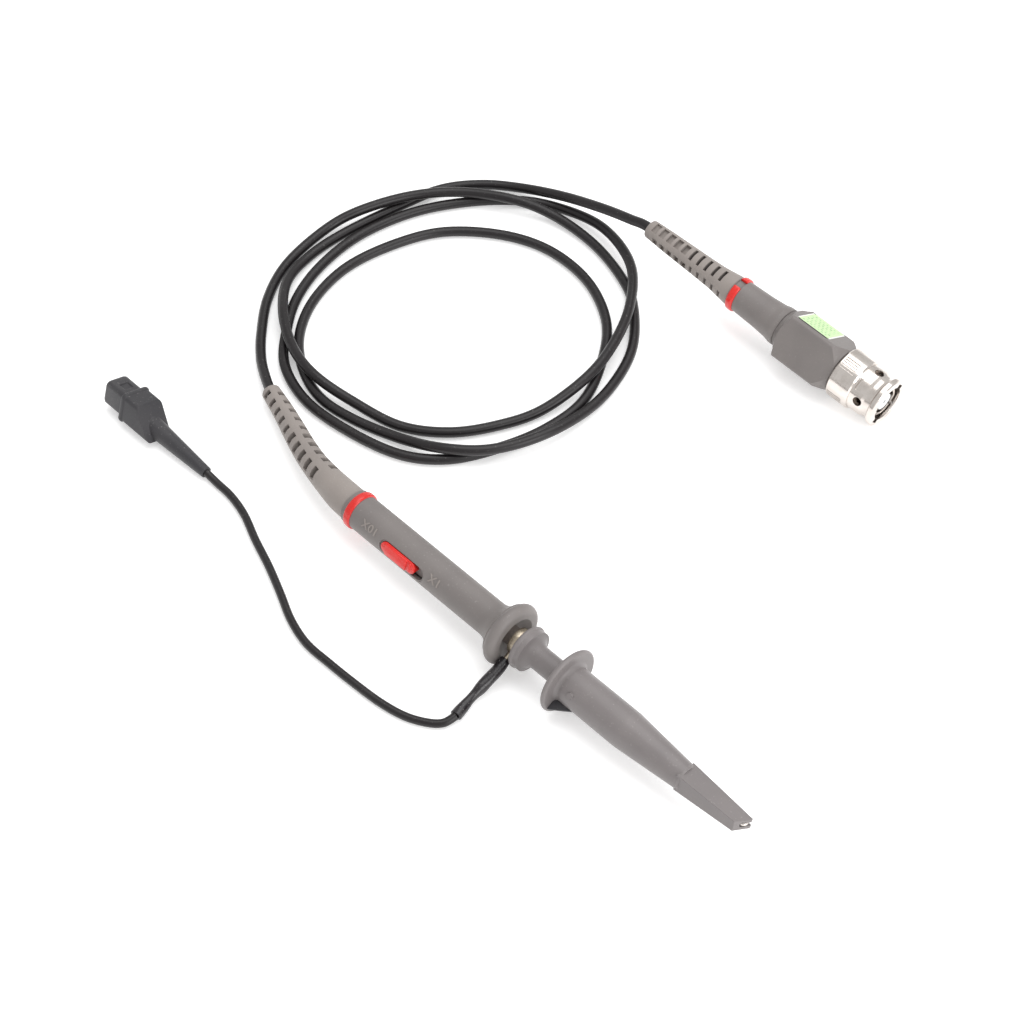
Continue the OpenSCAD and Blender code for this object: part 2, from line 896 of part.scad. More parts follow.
module bnc_coupling() {
    grip_front = -8.1;
    hole_u = -5.3;
    cam_start = -2.2;
    cam_steps = 11;
    cam_pitch = (cam_start - hole_u) / cam_steps;
    cam_r = 5.95;
    cam_w = 2.3;
    color(metal)
        difference() {
            turned_on_connector()
                rotate_extrude($fn = round_fn)
                    difference() {
                        polygon([
                            [0, -14.9], [6.9, -14.9], [coupling_r, -14.5],
                            [coupling_r, grip_front - 0.4], [6.9, grip_front],
                            [6.65, grip_front], [6.65, -4.6], [6.25, -3.7],
                            [6.2, -2.6], [6.45, -1.9], [7.1, -1.4], [7.1, -0.3],
                            [6.8, 0], [0, 0]
                        ]);
                        translate([0, -16])
                            square([body_r + 0.1, 4]);
                        translate([0, -13.1])
                            square([6.4, 3.6]);
                        translate([0, -10])
                            square([bore_r, 11]);
                    }
            for (side = [0, 180])
                on_connector()
                    rotate([side + 132, 0, 0]) {
                        translate([cam_start, -cam_w / 2, 4])
                            cube([4, cam_w, cam_r - 4]);
                        for (i = [0 : cam_steps])
                            rotate([-5 * i, 0, 0])
                                translate([cam_start - cam_pitch * i - cam_w / 2, -cam_w / 2, 4])
                                    cube([cam_w, cam_w, cam_r - 4]);
                    }
            for (side = [0 : 3])
                on_connector()
                    rotate([90 * side + 77, 0, 0])
                        translate([hole_u, 0, 4.5])
                            cylinder(r = 1.25, h = 4, $fn = small_fn);
            for (side = [0, 180])
                on_connector()
                    rotate([side + 40, 0, 0])
                        translate([-7.6, -1.6, 6])
                            cube([0.8, 3.2, 2]);
            for (panel = [0 : 3], k = [-2 : 2])
                on_connector()
                    rotate([90 * panel + 6 * k + 20, 0, 0])
                        translate([-14.2, -0.16, coupling_r - 0.25])
                            cube([4.6, 0.32, 1]);
        }
}

// ------------------------------------------------------------- ground lead

module ground_clip_ring() {
    ring_half = 0.8;
    color(gold)
        on_head()
            difference() {
                union() {
                    pipe(3.5, barrel_r + 0.05, clip_ring_x - ring_half, clip_ring_x + ring_half);
                    rotate([0, 0, 270 + lead_turn])
                        translate([3, 0, clip_ring_x])
                            rotate([0, 90, 0])
                                cylinder(r = 0.8, h = tab_len - 3, $fn = small_fn);
                }
                rotate([0, 0, 90 + lead_turn])
                    translate([2, -0.5, clip_ring_x - 1])
                        cube([3, 1, 2]);
            }
}

module ground_heat_shrink() {
    path = smooth(shrink_route, 3);
    radii = smooth(shrink_radii, 3);
    color(dark)
        tube_along(path, radii, 14);
}

module ground_lead() {
    path = smooth(lead_route, 2);
    color(dark)
        tube_along(path, even(path, lead_d / 2), 8);
}

module clip_boot() {
    front_w = 6.8;
    ridge_w = 8.6;
    main_w = 8;
    front_end = 7.4;
    ridge_end = 8.8;
    rear_end = 20.5;
    tail_slope = 3.6;
    color([0.16, 0.16, 0.17])
        on_clip()
            difference() {
                union() {
                    block(front_w, front_w, 1.2, 0, front_end);
                    block(ridge_w, ridge_w, 1.5, front_end, ridge_end);
                    difference() {
                        block(main_w, main_w, 1.3, ridge_end, rear_end);
                        translate([rear_end - 5.6, -5, 5])
                            rotate([0, 52, 0])
                                translate([0, 0, -2])
                                    cube([14, 10, 8]);
                    }
                    translate([17, 0.5, -1.7])
                        rotate([-clip_roll, 0, 0])
                            rotate([0, 90 + tail_slope, 0])
                                cylinder(r1 = 2.7, r2 = 1.5, h = 20, $fn = round_fn);
                }
                translate([-1, -2.5, -2.6])
                    cube([16.5, 5, 5.2]);
                translate([3.2, -1.4, front_w / 2 - 0.35])
                    cube([2.4, 2.8, 1]);
            }
}

module clip_lower_jaw() {
    color(metal)
        on_clip()
            difference() {
                union() {
                    translate([0.6, -1.6, -2.4])
                        cube([6.4, 3.2, 2.1]);
                    translate([6, -2.2, -2.4])
                        cube([9, 4.4, 0.5]);
                    for (y = [-2.2, 1.8])
                        translate([10.6, y, -2.4])
                            cube([4.4, 0.4, 3.2]);
                }
                translate([jaw_pivot[0], 3, jaw_pivot[1]])
                    rotate([90, 0, 0])
                        cylinder(r = 0.6, h = 6, $fn = small_fn);
                for (k = [0 : 5])
                    translate([1.2 + k, -2, -0.3])
                        rotate([0, 45, 0])
                            cube([0.5, 4, 0.5], center = false);
            }
}

module clip_upper_jaw() {
    color(metal)
        on_clip()
            difference() {
                union() {
                    translate([0.6, -1.6, -0.25])
                        cube([6.4, 3.2, 1.1]);
                    translate([6, -1.7, 0.35])
                        cube([9, 3.4, 0.5]);
                    for (y = [-1.7, 1.3])
                        translate([11, y, -1.2])
                            cube([3.6, 0.4, 1.8]);
                }
                translate([jaw_pivot[0] - 1.3, -1.15, 0])
                    cube([2.6, 2.3, 1]);
                translate([jaw_pivot[0], 3, jaw_pivot[1]])
                    rotate([90, 0, 0])
                        cylinder(r = 0.65, h = 6, $fn = small_fn);
            }
}

module clip_pivot() {
    color(metal)
        on_clip()
            translate([jaw_pivot[0], 2.2, jaw_pivot[1]])
                rotate([90, 0, 0])
                    cylinder(r = 0.6, h = 4.4, $fn = small_fn);
}

module clip_spring() {
    wire_r = 0.18;
    coil_r = 0.85;
    color(metal)
        on_clip()
            translate([jaw_pivot[0], 0, jaw_pivot[1]])
                rotate([90, 0, 0]) {
                    for (k = [-2 : 2])
                        translate([0, 0, k * 2 * wire_r])
                            rotate_extrude($fn = small_fn)
                                translate([coil_r, 0])
                                    circle(r = wire_r + 0.02, $fn = small_fn);
                }
}

handle_shell();
probe_marker_ring();
switch_slider();
switch_contact();
circuit_board();
tip_resistor();
tip_capacitor();
ground_barrel();
nose_insulator();
probe_needle();
hook_base();
hook_socket();
hook_spring();
hook_wire();
hook_sleeve();
probe_boot();
main_cable();
connector_boot();
connector_marker_ring();
connector_housing();
housing_label();
connector_board();
trimmer_body();
trimmer_screw();
bnc_body();
bnc_insulator();
bnc_pin();
bnc_gasket();
bnc_retaining_ring();
bnc_wave_spring();
bnc_thrust_washer();
bnc_coupling();
ground_clip_ring();
ground_heat_shrink();
ground_lead();
clip_boot();
clip_lower_jaw();
clip_upper_jaw();
clip_pivot();
clip_spring();
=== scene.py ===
# %% [markdown]
# # A passive oscilloscope probe on a pale bench
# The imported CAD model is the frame: it holds every hard part at its true size and place.
# This lesson gives the frame its looks. Cords, soft boots, springs, the slider, the marker
# rings, the label and the moulded marks are made here in mesh code and Geometry Nodes, and
# every piece gets a procedural finish. Lengths below are in millimetres and are turned to
# metres in one place, so that a number can be compared with a caliper's reading.

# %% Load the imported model
import math

import bmesh
import bpy
from mathutils import Matrix, Vector


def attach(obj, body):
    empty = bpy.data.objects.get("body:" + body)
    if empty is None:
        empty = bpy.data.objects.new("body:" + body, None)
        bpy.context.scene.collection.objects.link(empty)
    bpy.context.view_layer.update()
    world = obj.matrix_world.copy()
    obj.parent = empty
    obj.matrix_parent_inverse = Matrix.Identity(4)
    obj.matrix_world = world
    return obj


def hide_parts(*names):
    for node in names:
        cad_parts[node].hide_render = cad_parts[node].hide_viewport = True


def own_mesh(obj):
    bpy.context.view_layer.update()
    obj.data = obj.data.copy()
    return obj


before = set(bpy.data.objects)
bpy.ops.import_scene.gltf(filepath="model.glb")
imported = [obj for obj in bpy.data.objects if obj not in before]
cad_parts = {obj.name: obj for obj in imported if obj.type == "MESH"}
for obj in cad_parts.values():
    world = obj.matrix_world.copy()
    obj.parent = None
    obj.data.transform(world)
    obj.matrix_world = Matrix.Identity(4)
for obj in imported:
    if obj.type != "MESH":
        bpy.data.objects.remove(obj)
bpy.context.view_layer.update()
MM = 0.001

# %% [markdown]
# ## Axes of the parts
# Each part of the probe is easiest to make straight and level, with its own axis along
# local X, and is then carried to its place by one matrix. The head lies level, the slider's
# slot leans towards the front, the connector slopes down to its rim and its square housing
# is rolled on its axis, and the ground clip is rolled a little on its cable.

# %% Matrices that carry local millimetres to the bench
AXIS_Z = 8.6
SLOT_LEAN = 71
HOUSING_ROLL = 58
CONNECTOR_AT = (3.6, 121.8, 6.95)
CONNECTOR_YAW = 1.5
CONNECTOR_PITCH = 5
CONN_BOOT_END = -82.9
CLIP_AT = (-141, -16, 4.95)
CLIP_ROLL = -18


def roll(degrees):
    return Matrix.Rotation(math.radians(degrees), 4, "X")


HEAD = Matrix.Translation((0, 0, AXIS_Z))
SLOT = HEAD @ roll(SLOT_LEAN)
CONNECTOR = (
    Matrix.Translation(CONNECTOR_AT)
    @ Matrix.Rotation(math.radians(CONNECTOR_YAW), 4, "Z")
    @ Matrix.Rotation(math.radians(CONNECTOR_PITCH), 4, "Y")
)
HOUSING = CONNECTOR @ roll(HOUSING_ROLL)
CLIP = Matrix.Translation(CLIP_AT) @ roll(CLIP_ROLL)
BENCH = Matrix.Identity(4)


def connector_point(u):
    return tuple(CONNECTOR @ Vector((u, 0, 0)))


print("connector boot ends at", [round(c, 1) for c in connector_point(CONN_BOOT_END)])

# %% [markdown]
# ## Camera
# The probe is seen from above its front right, from far enough away that the head, the
# coil and the clip all keep nearly parallel sides. A long lens at about six tenths of a
# metre does that.

# %% Camera
EYE = Vector((0.2356, -0.2383, 0.4612))
AIM = Vector((-0.0418, 0.0315, 0.0))
FOCAL_LENGTH = 84.375
SENSOR_WIDTH = 36


def linked(name, data):
    """A new object that stands in the scene."""
    obj = bpy.data.objects.new(name, data)
    bpy.context.scene.collection.objects.link(obj)
    return obj


camera = linked("camera", bpy.data.cameras.new("camera"))
camera.data.lens = FOCAL_LENGTH
camera.data.sensor_width = SENSOR_WIDTH
camera.data.clip_start = 0.01
camera.data.clip_end = 10
camera.location = EYE
camera.rotation_mode = "QUATERNION"
camera.rotation_quaternion = (AIM - EYE).to_track_quat("-Z", "Y")
bpy.context.scene.camera = camera
print("camera distance", round((AIM - EYE).length, 3), "m")

# %% [markdown]
# ## Shared effects
# Four effects come back in many finishes, so each is a shader node group that is built
# once: the rounding and rubbing of edges, the fine grain and mottle that a mould leaves,
# the polish marks and tarnish of plating, and a film of dust on what faces up. A group
# puts out only masks and normals, and each material blends them with its own colours.

# %% Node helpers


def new_group(name, inputs, outputs):
    tree = bpy.data.node_groups.new(name, "ShaderNodeTree")
    for label, value in inputs.items():
        vector = value is None
        kind = "NodeSocketVector" if vector else "NodeSocketFloat"
        socket = tree.interface.new_socket(label, in_out="INPUT", socket_type=kind)
        if not vector:
            socket.default_value = value
    for label, kind in outputs.items():
        tree.interface.new_socket(label, in_out="OUTPUT", socket_type=kind)
    return tree, tree.nodes.new("NodeGroupInput"), tree.nodes.new("NodeGroupOutput")


def feed(tree, node, inputs):
    """Gives inputs their values by name or number: a socket is linked, the rest is set."""
    for label, value in inputs.items():
        if isinstance(value, bpy.types.NodeSocket):
            tree.links.new(value, node.inputs[label])
        else:
            node.inputs[label].default_value = value


def add(tree, kind, inputs=None, **settings):
    node = tree.nodes.new(kind)
    for key, value in settings.items():
        setattr(node, key, value)
    feed(tree, node, inputs or {})
    return node


def math_node(tree, operation, first, second):
    return add(tree, "ShaderNodeMath", {0: first, 1: second}, operation=operation).outputs[0]


def remap(tree, value, low, high, to_low=0.0, to_high=1.0):
    return add(tree, "ShaderNodeMapRange", {
        "Value": value, "From Min": low, "From Max": high, "To Min": to_low, "To Max": to_high,
    }).outputs["Result"]


def object_place(tree):
    return add(tree, "ShaderNodeTexCoord").outputs["Object"]


def noise(tree, place, scale, detail=3.0):
    inputs = {"Vector": place, "Scale": scale, "Detail": detail}
    return add(tree, "ShaderNodeTexNoise", inputs).outputs["Fac"]


def bumped(tree, height, depth, normal=None):
    """The normal after a height has been laid on it, in metres."""
    inputs = {"Strength": 1, "Height": height, "Distance": depth}
    if normal:
        inputs["Normal"] = normal
    return add(tree, "ShaderNodeBump", inputs).outputs["Normal"]


print("node helpers ready")

# %% [markdown]
# Moulded and machined edges are never knife sharp, and hands rub them lighter. Comparing a
# rounded normal with the flat one gives both: the soft highlight, and where the rubbing is.

# %% Soft edges


def soft_edge_group():
    tree, given, made = new_group(
        "Soft edges",
        {"Radius": 0.0002},
        {"Rubbed": "NodeSocketFloat", "Normal": "NodeSocketVector"},
    )
    radius = {"Radius": given.outputs["Radius"]}
    rounded = add(tree, "ShaderNodeBevel", radius, samples=6).outputs["Normal"]
    flat = add(tree, "ShaderNodeNewGeometry").outputs["Normal"]
    turn = add(tree, "ShaderNodeVectorMath", {0: rounded, 1: flat}, operation="DOT_PRODUCT")
    rubbed = remap(tree, turn.outputs["Value"], 0.99, 0.86)
    feed(tree, made, {"Rubbed": rubbed, "Normal": rounded})
    return tree


SOFT_EDGES = soft_edge_group()
print("group:", SOFT_EDGES.name)

# %% [markdown]
# A steel mould is spark eroded, which leaves a fine pebbled skin, and the resin cools in
# faint clouds. Two noises of very different size stand for the two.

# %% Moulded grain


def moulded_grain_group():
    tree, given, made = new_group(
        "Moulded grain",
        {"Mottle Scale": 90.0, "Grain Scale": 3500.0, "Grain Depth": 0.00001, "Normal": None},
        {"Mottle": "NodeSocketFloat", "Grain": "NodeSocketFloat", "Normal": "NodeSocketVector"},
    )
    place = object_place(tree)
    mottle = noise(tree, place, given.outputs["Mottle Scale"], 4)
    grain = noise(tree, place, given.outputs["Grain Scale"], 2)
    feed(tree, made, {
        "Mottle": remap(tree, mottle, 0.32, 0.68),
        "Grain": grain,
        "Normal": bumped(tree, grain, given.outputs["Grain Depth"], given.outputs["Normal"]),
    })
    return tree


MOULDED_GRAIN = moulded_grain_group()
print("group:", MOULDED_GRAIN.name)

# %% [markdown]
# Plated brass keeps the fine lines of its turning and dulls in patches where it is touched.
# The lines are a noise drawn out along one axis, so that they run round a turned part.

# %% Plating marks


def plating_group():
    tree, given, made = new_group(
        "Plating marks",
        {"Patch Scale": 300.0, "Line Scale": 900.0, "Line Depth": 0.000002, "Normal": None},
        {"Tarnish": "NodeSocketFloat", "Normal": "NodeSocketVector"},
    )
    place = object_place(tree)
    stretch = add(tree, "ShaderNodeMapping", {"Vector": place, "Scale": (6, 1, 1)})
    patch = noise(tree, place, given.outputs["Patch Scale"], 4)
    lines = noise(tree, stretch.outputs["Vector"], given.outputs["Line Scale"], 2)
    feed(tree, made, {
        "Tarnish": remap(tree, patch, 0.4, 0.75),
        "Normal": bumped(tree, lines, given.outputs["Line Depth"], given.outputs["Normal"]),
    })
    return tree


PLATING_MARKS = plating_group()
print("group:", PLATING_MARKS.name)

# %% [markdown]
# Lint and dust settle on what faces up. Small specks are kept only where the normal points
# to the ceiling.

# %% Bench dust


def dust_group():
    tree, given, made = new_group(
        "Bench dust",
        {"Amount": 0.2, "Speck Scale": 1800.0},
        {"Dust": "NodeSocketFloat"},
    )
    normal = add(tree, "ShaderNodeNewGeometry").outputs["Normal"]
    facing = add(tree, "ShaderNodeSeparateXYZ", {0: normal})
    up = remap(tree, facing.outputs["Z"], 0.2, 1.0)
    lint = noise(tree, object_place(tree), given.outputs["Speck Scale"], 1)
    settled_lint = math_node(tree, "MULTIPLY", up, remap(tree, lint, 0.66, 0.78))
    dust = math_node(tree, "MULTIPLY", settled_lint, given.outputs["Amount"])
    feed(tree, made, {"Dust": dust})
    return tree


BENCH_DUST = dust_group()
print("group:", BENCH_DUST.name)

# %% [markdown]
# ## Finishes
# The real probe has three plastics that differ little in colour but much in feel: satin
# shells, softer boots and glossy red markers. Its cords are black vinyl, its plug is bright
# nickel, and the contacts have a thin gold wash. One function makes every plastic and
# rubber, and another makes every metal, so that the finishes stay related.

# %% Plastics and rubbers
LINT = (0.62, 0.60, 0.57)
PLASTIC_SPECULAR = 0.38
COAT_ROUGH = 0.18
SHEEN_ROUGH = 0.5


def use_group(tree, group, inputs):
    return add(tree, "ShaderNodeGroup", inputs, node_tree=group)


def mix_colour(tree, amount, first, second):
    first, second = ((*c, 1) if isinstance(c, tuple) else c for c in (first, second))
    inputs = {0: amount, 6: first, 7: second}
    return add(tree, "ShaderNodeMix", inputs, data_type="RGBA").outputs[2]


def new_material(name):
    material = bpy.data.materials.new(name)
    material.use_nodes = True
    return material, material.node_tree, material.node_tree.nodes["Principled BSDF"]


def moulded(name, colour, shade, rough, spread=0.08, grain=3500.0, depth=0.00001,
            mottle=90.0, edge=0.0002, rubbed=0.25, dust=0.15, coat=0.0, sheen=0.0):
    material, tree, shader = new_material(name)
    edges = use_group(tree, SOFT_EDGES, {"Radius": edge})
    skin = use_group(tree, MOULDED_GRAIN, {
        "Mottle Scale": mottle, "Grain Scale": grain, "Grain Depth": depth,
        "Normal": edges.outputs["Normal"],
    })
    specks = use_group(tree, BENCH_DUST, {"Amount": dust})
    lighter = tuple(min(1.0, c * 1.35 + 0.03) for c in colour)
    wear = math_node(tree, "MULTIPLY", edges.outputs["Rubbed"], rubbed)
    base = mix_colour(tree, skin.outputs["Mottle"], colour, shade)
    base = mix_colour(tree, wear, base, lighter)
    feed(tree, shader, {
        "Base Color": mix_colour(tree, specks.outputs["Dust"], base, LINT),
        "Roughness": remap(tree, skin.outputs["Grain"], 0.3, 0.7, rough - spread, rough + spread),
        "Normal": skin.outputs["Normal"],
        "Specular IOR Level": PLASTIC_SPECULAR,
        "Coat Weight": coat,
        "Coat Roughness": COAT_ROUGH,
        "Sheen Weight": sheen,
        "Sheen Roughness": SHEEN_ROUGH,
    })
    return material


FINISH = {
    "shell_grey": moulded("Satin warm grey shell", (0.205, 0.186, 0.178), (0.182, 0.165, 0.159),
                          0.46, depth=0.000014),
    "hook_grey": moulded("Satin cool grey hook shell", (0.205, 0.186, 0.184),
                         (0.180, 0.164, 0.163), 0.38, depth=0.000010, edge=0.00025),
    "boot_grey": moulded("Soft grey boot vinyl", (0.300, 0.266, 0.245), (0.262, 0.232, 0.215),
                         0.62, grain=2600.0, depth=0.00002, sheen=0.12, rubbed=0.15),
    "marker_red": moulded("Glossy red marker", (0.720, 0.022, 0.016), (0.620, 0.016, 0.012),
                          0.30, spread=0.05, depth=0.000006, coat=0.35, rubbed=0.2, dust=0.05),
    "cable_black": moulded("Black cable jacket", (0.010, 0.008, 0.009), (0.015, 0.013, 0.014),
                           0.34, spread=0.06, grain=5200.0, depth=0.000006, rubbed=0.0, dust=0.1),
    "shrink_black": moulded("Shrunk black tube", (0.010, 0.008, 0.010), (0.020, 0.017, 0.019),
                            0.27, spread=0.1, grain=1500.0, depth=0.00006, mottle=400.0, dust=0.3,
                            rubbed=0.0, coat=0.2),
    "clip_black": moulded("Soft black clip vinyl", (0.042, 0.040, 0.044), (0.032, 0.031, 0.035),
                          0.52, depth=0.000012, edge=0.0003, rubbed=0.35, sheen=0.1),
    "white_insulator": moulded("White turned insulator", (0.86, 0.87, 0.88), (0.80, 0.82, 0.84),
                               0.38, depth=0.000004, dust=0.0, edge=0.0001, rubbed=0.0),
    "board": moulded("Green board laminate", (0.035, 0.180, 0.075), (0.028, 0.150, 0.062),
                     0.42, depth=0.000008, edge=0.00005, coat=0.3),
    "component": moulded("Lacquered component", (0.52, 0.36, 0.17), (0.45, 0.30, 0.14),
                         0.35, edge=0.0001, coat=0.3),
    "seal": moulded("Dark silicone seal", (0.10, 0.035, 0.025), (0.07, 0.025, 0.02), 0.55),
}
print("plastics and rubbers:", len(FINISH))

# %% [markdown]
# The plug is bright nickel on brass, the ground barrel has a thin gold flash, and the
# springs, the hook and the jaws are steel. They differ only in tint and polish.

# %% Metals


def plated(name, colour, tarnish, rough, spread=0.12, line_depth=0.0000015, patch=300.0,
           edge=0.00012):
    material, tree, shader = new_material(name)
    edges = use_group(tree, SOFT_EDGES, {"Radius": edge})
    marks = use_group(tree, PLATING_MARKS, {
        "Patch Scale": patch, "Line Depth": line_depth, "Normal": edges.outputs["Normal"],
    })
    dull = marks.outputs["Tarnish"]
    feed(tree, shader, {
        "Base Color": mix_colour(tree, dull, colour, tarnish),
        "Roughness": remap(tree, dull, 0, 1, rough, rough + spread),
        "Normal": marks.outputs["Normal"],
        "Metallic": 1,
    })
    return material


FINISH["nickel"] = plated("Bright nickel plate", (0.74, 0.69, 0.65), (0.58, 0.53, 0.49), 0.17)
FINISH["gold"] = plated("Gold flash on brass", (0.66, 0.59, 0.47), (0.46, 0.38, 0.28), 0.22)
FINISH["steel"] = plated("Drawn spring steel", (0.62, 0.61, 0.60), (0.48, 0.46, 0.44), 0.28)
print("finishes:", sorted(FINISH))

# %% [markdown]
# ## Label paper
# The label on the housing is a pale green sticker with a white margin and rows of plain
# marks where a maker would print. The marks here are bare dashes made by a brick pattern
# in the label's own coordinates, so they say nothing. A painted shadow line darkens its lower
# edge.

# %% Label finish
DASHES = {
    "Scale": 1, "Brick Width": 0.115, "Row Height": 0.13, "Mortar Size": 0.034,
    "Mortar Smooth": 0.4, "Color1": (1, 1, 1, 1), "Color2": (0.35, 0.35, 0.35, 1),
    "Mortar": (0, 0, 0, 1),
}
PRINTED_TO = (0.40, 0.385)
MARGIN_FROM = (0.462, 0.47)
EDGE_SHADOW_FROM = (0.962, 0.968)
PRINT_STRENGTH = 0.8
FIBRE_SCALE = 4000
FIBRE_DEPTH = 0.000008


def label_paper():
    material, tree, shader = new_material("Pale green label")
    place = add(tree, "ShaderNodeUVMap", uv_map="label").outputs["UV"]
    split = add(tree, "ShaderNodeSeparateXYZ", {0: place})
    dashes = add(tree, "ShaderNodeTexBrick", {"Vector": place, **DASHES}, offset=0.37, squash=1.0)
    from_middle = [
        math_node(tree, "ABSOLUTE", math_node(tree, "SUBTRACT", split.outputs[axis], 0.5), 0)
        for axis in ("X", "Y")
    ]
    edge = math_node(tree, "MAXIMUM", *from_middle)
    inside = remap(tree, edge, *PRINTED_TO)
    margin = remap(tree, edge, *MARGIN_FROM)
    printed = math_node(tree, "MULTIPLY", dashes.outputs["Color"], inside)
    paper = mix_colour(tree, math_node(tree, "MULTIPLY", printed, PRINT_STRENGTH),
                       (0.55, 0.77, 0.40), (0.16, 0.34, 0.12))
    paper = mix_colour(tree, margin, paper, (0.82, 0.86, 0.80))
    # Painted shadow: a thin dark line along the label's lower edge.
    edge_shadow = remap(tree, split.outputs["Y"], *EDGE_SHADOW_FROM)
    fibre = noise(tree, object_place(tree), FIBRE_SCALE, 2)
    feed(tree, shader, {
        "Base Color": mix_colour(tree, edge_shadow, paper, (0.02, 0.02, 0.02)),
        "Normal": bumped(tree, fibre, FIBRE_DEPTH),
        "Roughness": 0.45,
    })
    return material


FINISH["label_green"] = label_paper()
print("label finish ready")

# %% [markdown]
# ## Mesh helpers
# Most of the probe is turned or swept. A lathe turns an outline about local X, a sweep
# carries a round section along a smooth line, and a slab is a stadium or a rectangle with
# height. Each makes a closed mesh in millimetres, and `piece` carries it to the bench,
# gives it its finish and ties it to the CAD body and nodes that it stands for.

# %% Finishing a piece


def plain_mesh(obj):
    """The object's evaluated form as a mesh of its own."""
    depsgraph = bpy.context.evaluated_depsgraph_get()
    return bpy.data.meshes.new_from_object(obj.evaluated_get(depsgraph), depsgraph=depsgraph)


def settled(obj):
    """The object with its modifiers worked into a plain mesh."""
    plain = plain_mesh(obj)
    obj.modifiers.clear()
    obj.data = plain
    return obj


def loose(bm, name):
    """An object from a bmesh, with its faces pointing outwards."""
    bmesh.ops.remove_doubles(bm, verts=bm.verts, dist=0.0005)
    bmesh.ops.recalc_face_normals(bm, faces=bm.faces)
    mesh = bpy.data.meshes.new(name)
    bm.to_mesh(mesh)
    bm.free()
    return linked(name, mesh)


def piece(obj, place, slot, body, *nodes, sharp=35):
    """Carries a finished mesh in millimetres to the bench and ties it to the CAD."""
    mesh = obj.data
    mesh.transform(Matrix.Scale(MM, 4) @ place)
    mesh.materials.clear()
    mesh.materials.append(FINISH[slot])
    mesh.shade_smooth()
    mesh.set_sharp_from_angle(angle=math.radians(sharp))
    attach(obj, body)
    if nodes:
        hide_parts(*nodes)
    print(obj.name, len(mesh.polygons), "faces")
    return obj


def carve(obj, tool, operation="DIFFERENCE"):
    """Cuts a tool from the object, or welds it on, and removes the tool."""
    cut = obj.modifiers.new("cut", "BOOLEAN")
    cut.operation = operation
    cut.object = tool
    cut.solver = "EXACT"
    settled(obj)
    bpy.data.objects.remove(tool)
    return obj


def round_edges(obj, width, segments=2, angle=40):
    edges = obj.modifiers.new("edges", "BEVEL")
    edges.width = width
    edges.segments = segments
    edges.limit_method = "ANGLE"
    edges.angle_limit = math.radians(angle)
    return settled(obj)


# %% [markdown]
# The makers share one habit: they lay out rings of points and skin them, so every mesh is
# closed. They cover the turned, the bent and the flat pieces.

# %% Lathe, sweep and slab


def arc(centre_u, centre_r, radius, first, last, steps=8):
    """Points of an arc in the (along, radius) plane, angles in degrees from +along."""
    turns = [math.radians(first + (last - first) * k / steps) for k in range(steps + 1)]
    return [(centre_u + radius * math.cos(t), centre_r + radius * math.sin(t)) for t in turns]


def skin(bm, rings, capped=True):
    """Faces from ring to ring. The two end rings are capped, or else joined."""
    pairs = list(zip(rings, rings[1:])) + ([] if capped else [(rings[-1], rings[0])])
    for here, there in pairs:
        for k in range(len(here)):
            j = (k + 1) % len(here)
            bm.faces.new((here[k], here[j], there[j], there[k]))
    if capped:
        bm.faces.new(rings[0])
        bm.faces.new(rings[-1])


def lathe(name, outline, steps=96, first=0, sweep=360):
    """A closed outline turned about local X. Under a full turn its two ends are capped."""
    full = sweep == 360
    bm = bmesh.new()
    rings = []
    for k in range(steps if full else steps + 1):
        t = math.radians(first + sweep * k / steps)
        rings.append([bm.verts.new((u, r * math.cos(t), r * math.sin(t))) for u, r in outline])
    skin(bm, rings, capped=not full)
    return loose(bm, name)


def blend4(a, b, c, d, t):
    return 0.5 * (2 * b + (c - a) * t + (2 * a - 5 * b + 4 * c - d) * t * t
                  + (3 * b - a - 3 * c + d) * t * t * t)


def smooth(points, steps):
    """A smooth run of values or points through the given ones."""
    last = len(points) - 1
    run = []
    for i in range(last):
        four = [points[max(i - 1, 0)], points[i], points[i + 1], points[min(i + 2, last)]]
        run += [blend4(*four, k / steps) for k in range(steps)]
    return run + [points[-1]]


def sweep_tube(name, line, radii, sides=32, lumps=None):
    """A round tube along a line with capped ends. lumps gives a factor for a place on it."""
    bm = bmesh.new()
    rings = []
    for i, at in enumerate(line):
        along = (line[min(i + 1, len(line) - 1)] - line[max(i - 1, 0)]).normalized()
        side = along.cross(Vector((0, 0, 1))).normalized()
        top = side.cross(along)
        ring = []
        for k in range(sides):
            t = math.tau * k / sides
            r = radii[i] * (lumps(i, t) if lumps else 1)
            ring.append(bm.verts.new(at + r * (math.cos(t) * side + math.sin(t) * top)))
        rings.append(ring)
    skin(bm, rings)
    return loose(bm, name)


def stadium(length, width, low, high, steps=14):
    """A slab with round ends from local x 0 to length, between two heights in local z."""
    half = width / 2
    bm = bmesh.new()
    rim = []
    for centre, first in ((length - half, -90), (half, 90)):
        for k in range(steps + 1):
            t = math.radians(first + 180 * k / steps)
            rim.append((centre + half * math.cos(t), half * math.sin(t)))
    skin(bm, [[bm.verts.new((x, y, z)) for x, y in rim] for z in (low, high)])
    return bm


def box_slab(low, high):
    bm = bmesh.new()
    bmesh.ops.create_cube(bm, size=1)
    size = Vector(high) - Vector(low)
    bmesh.ops.scale(bm, vec=size, verts=bm.verts)
    bmesh.ops.translate(bm, vec=(Vector(high) + Vector(low)) / 2, verts=bm.verts)
    return bm


print("helpers ready")
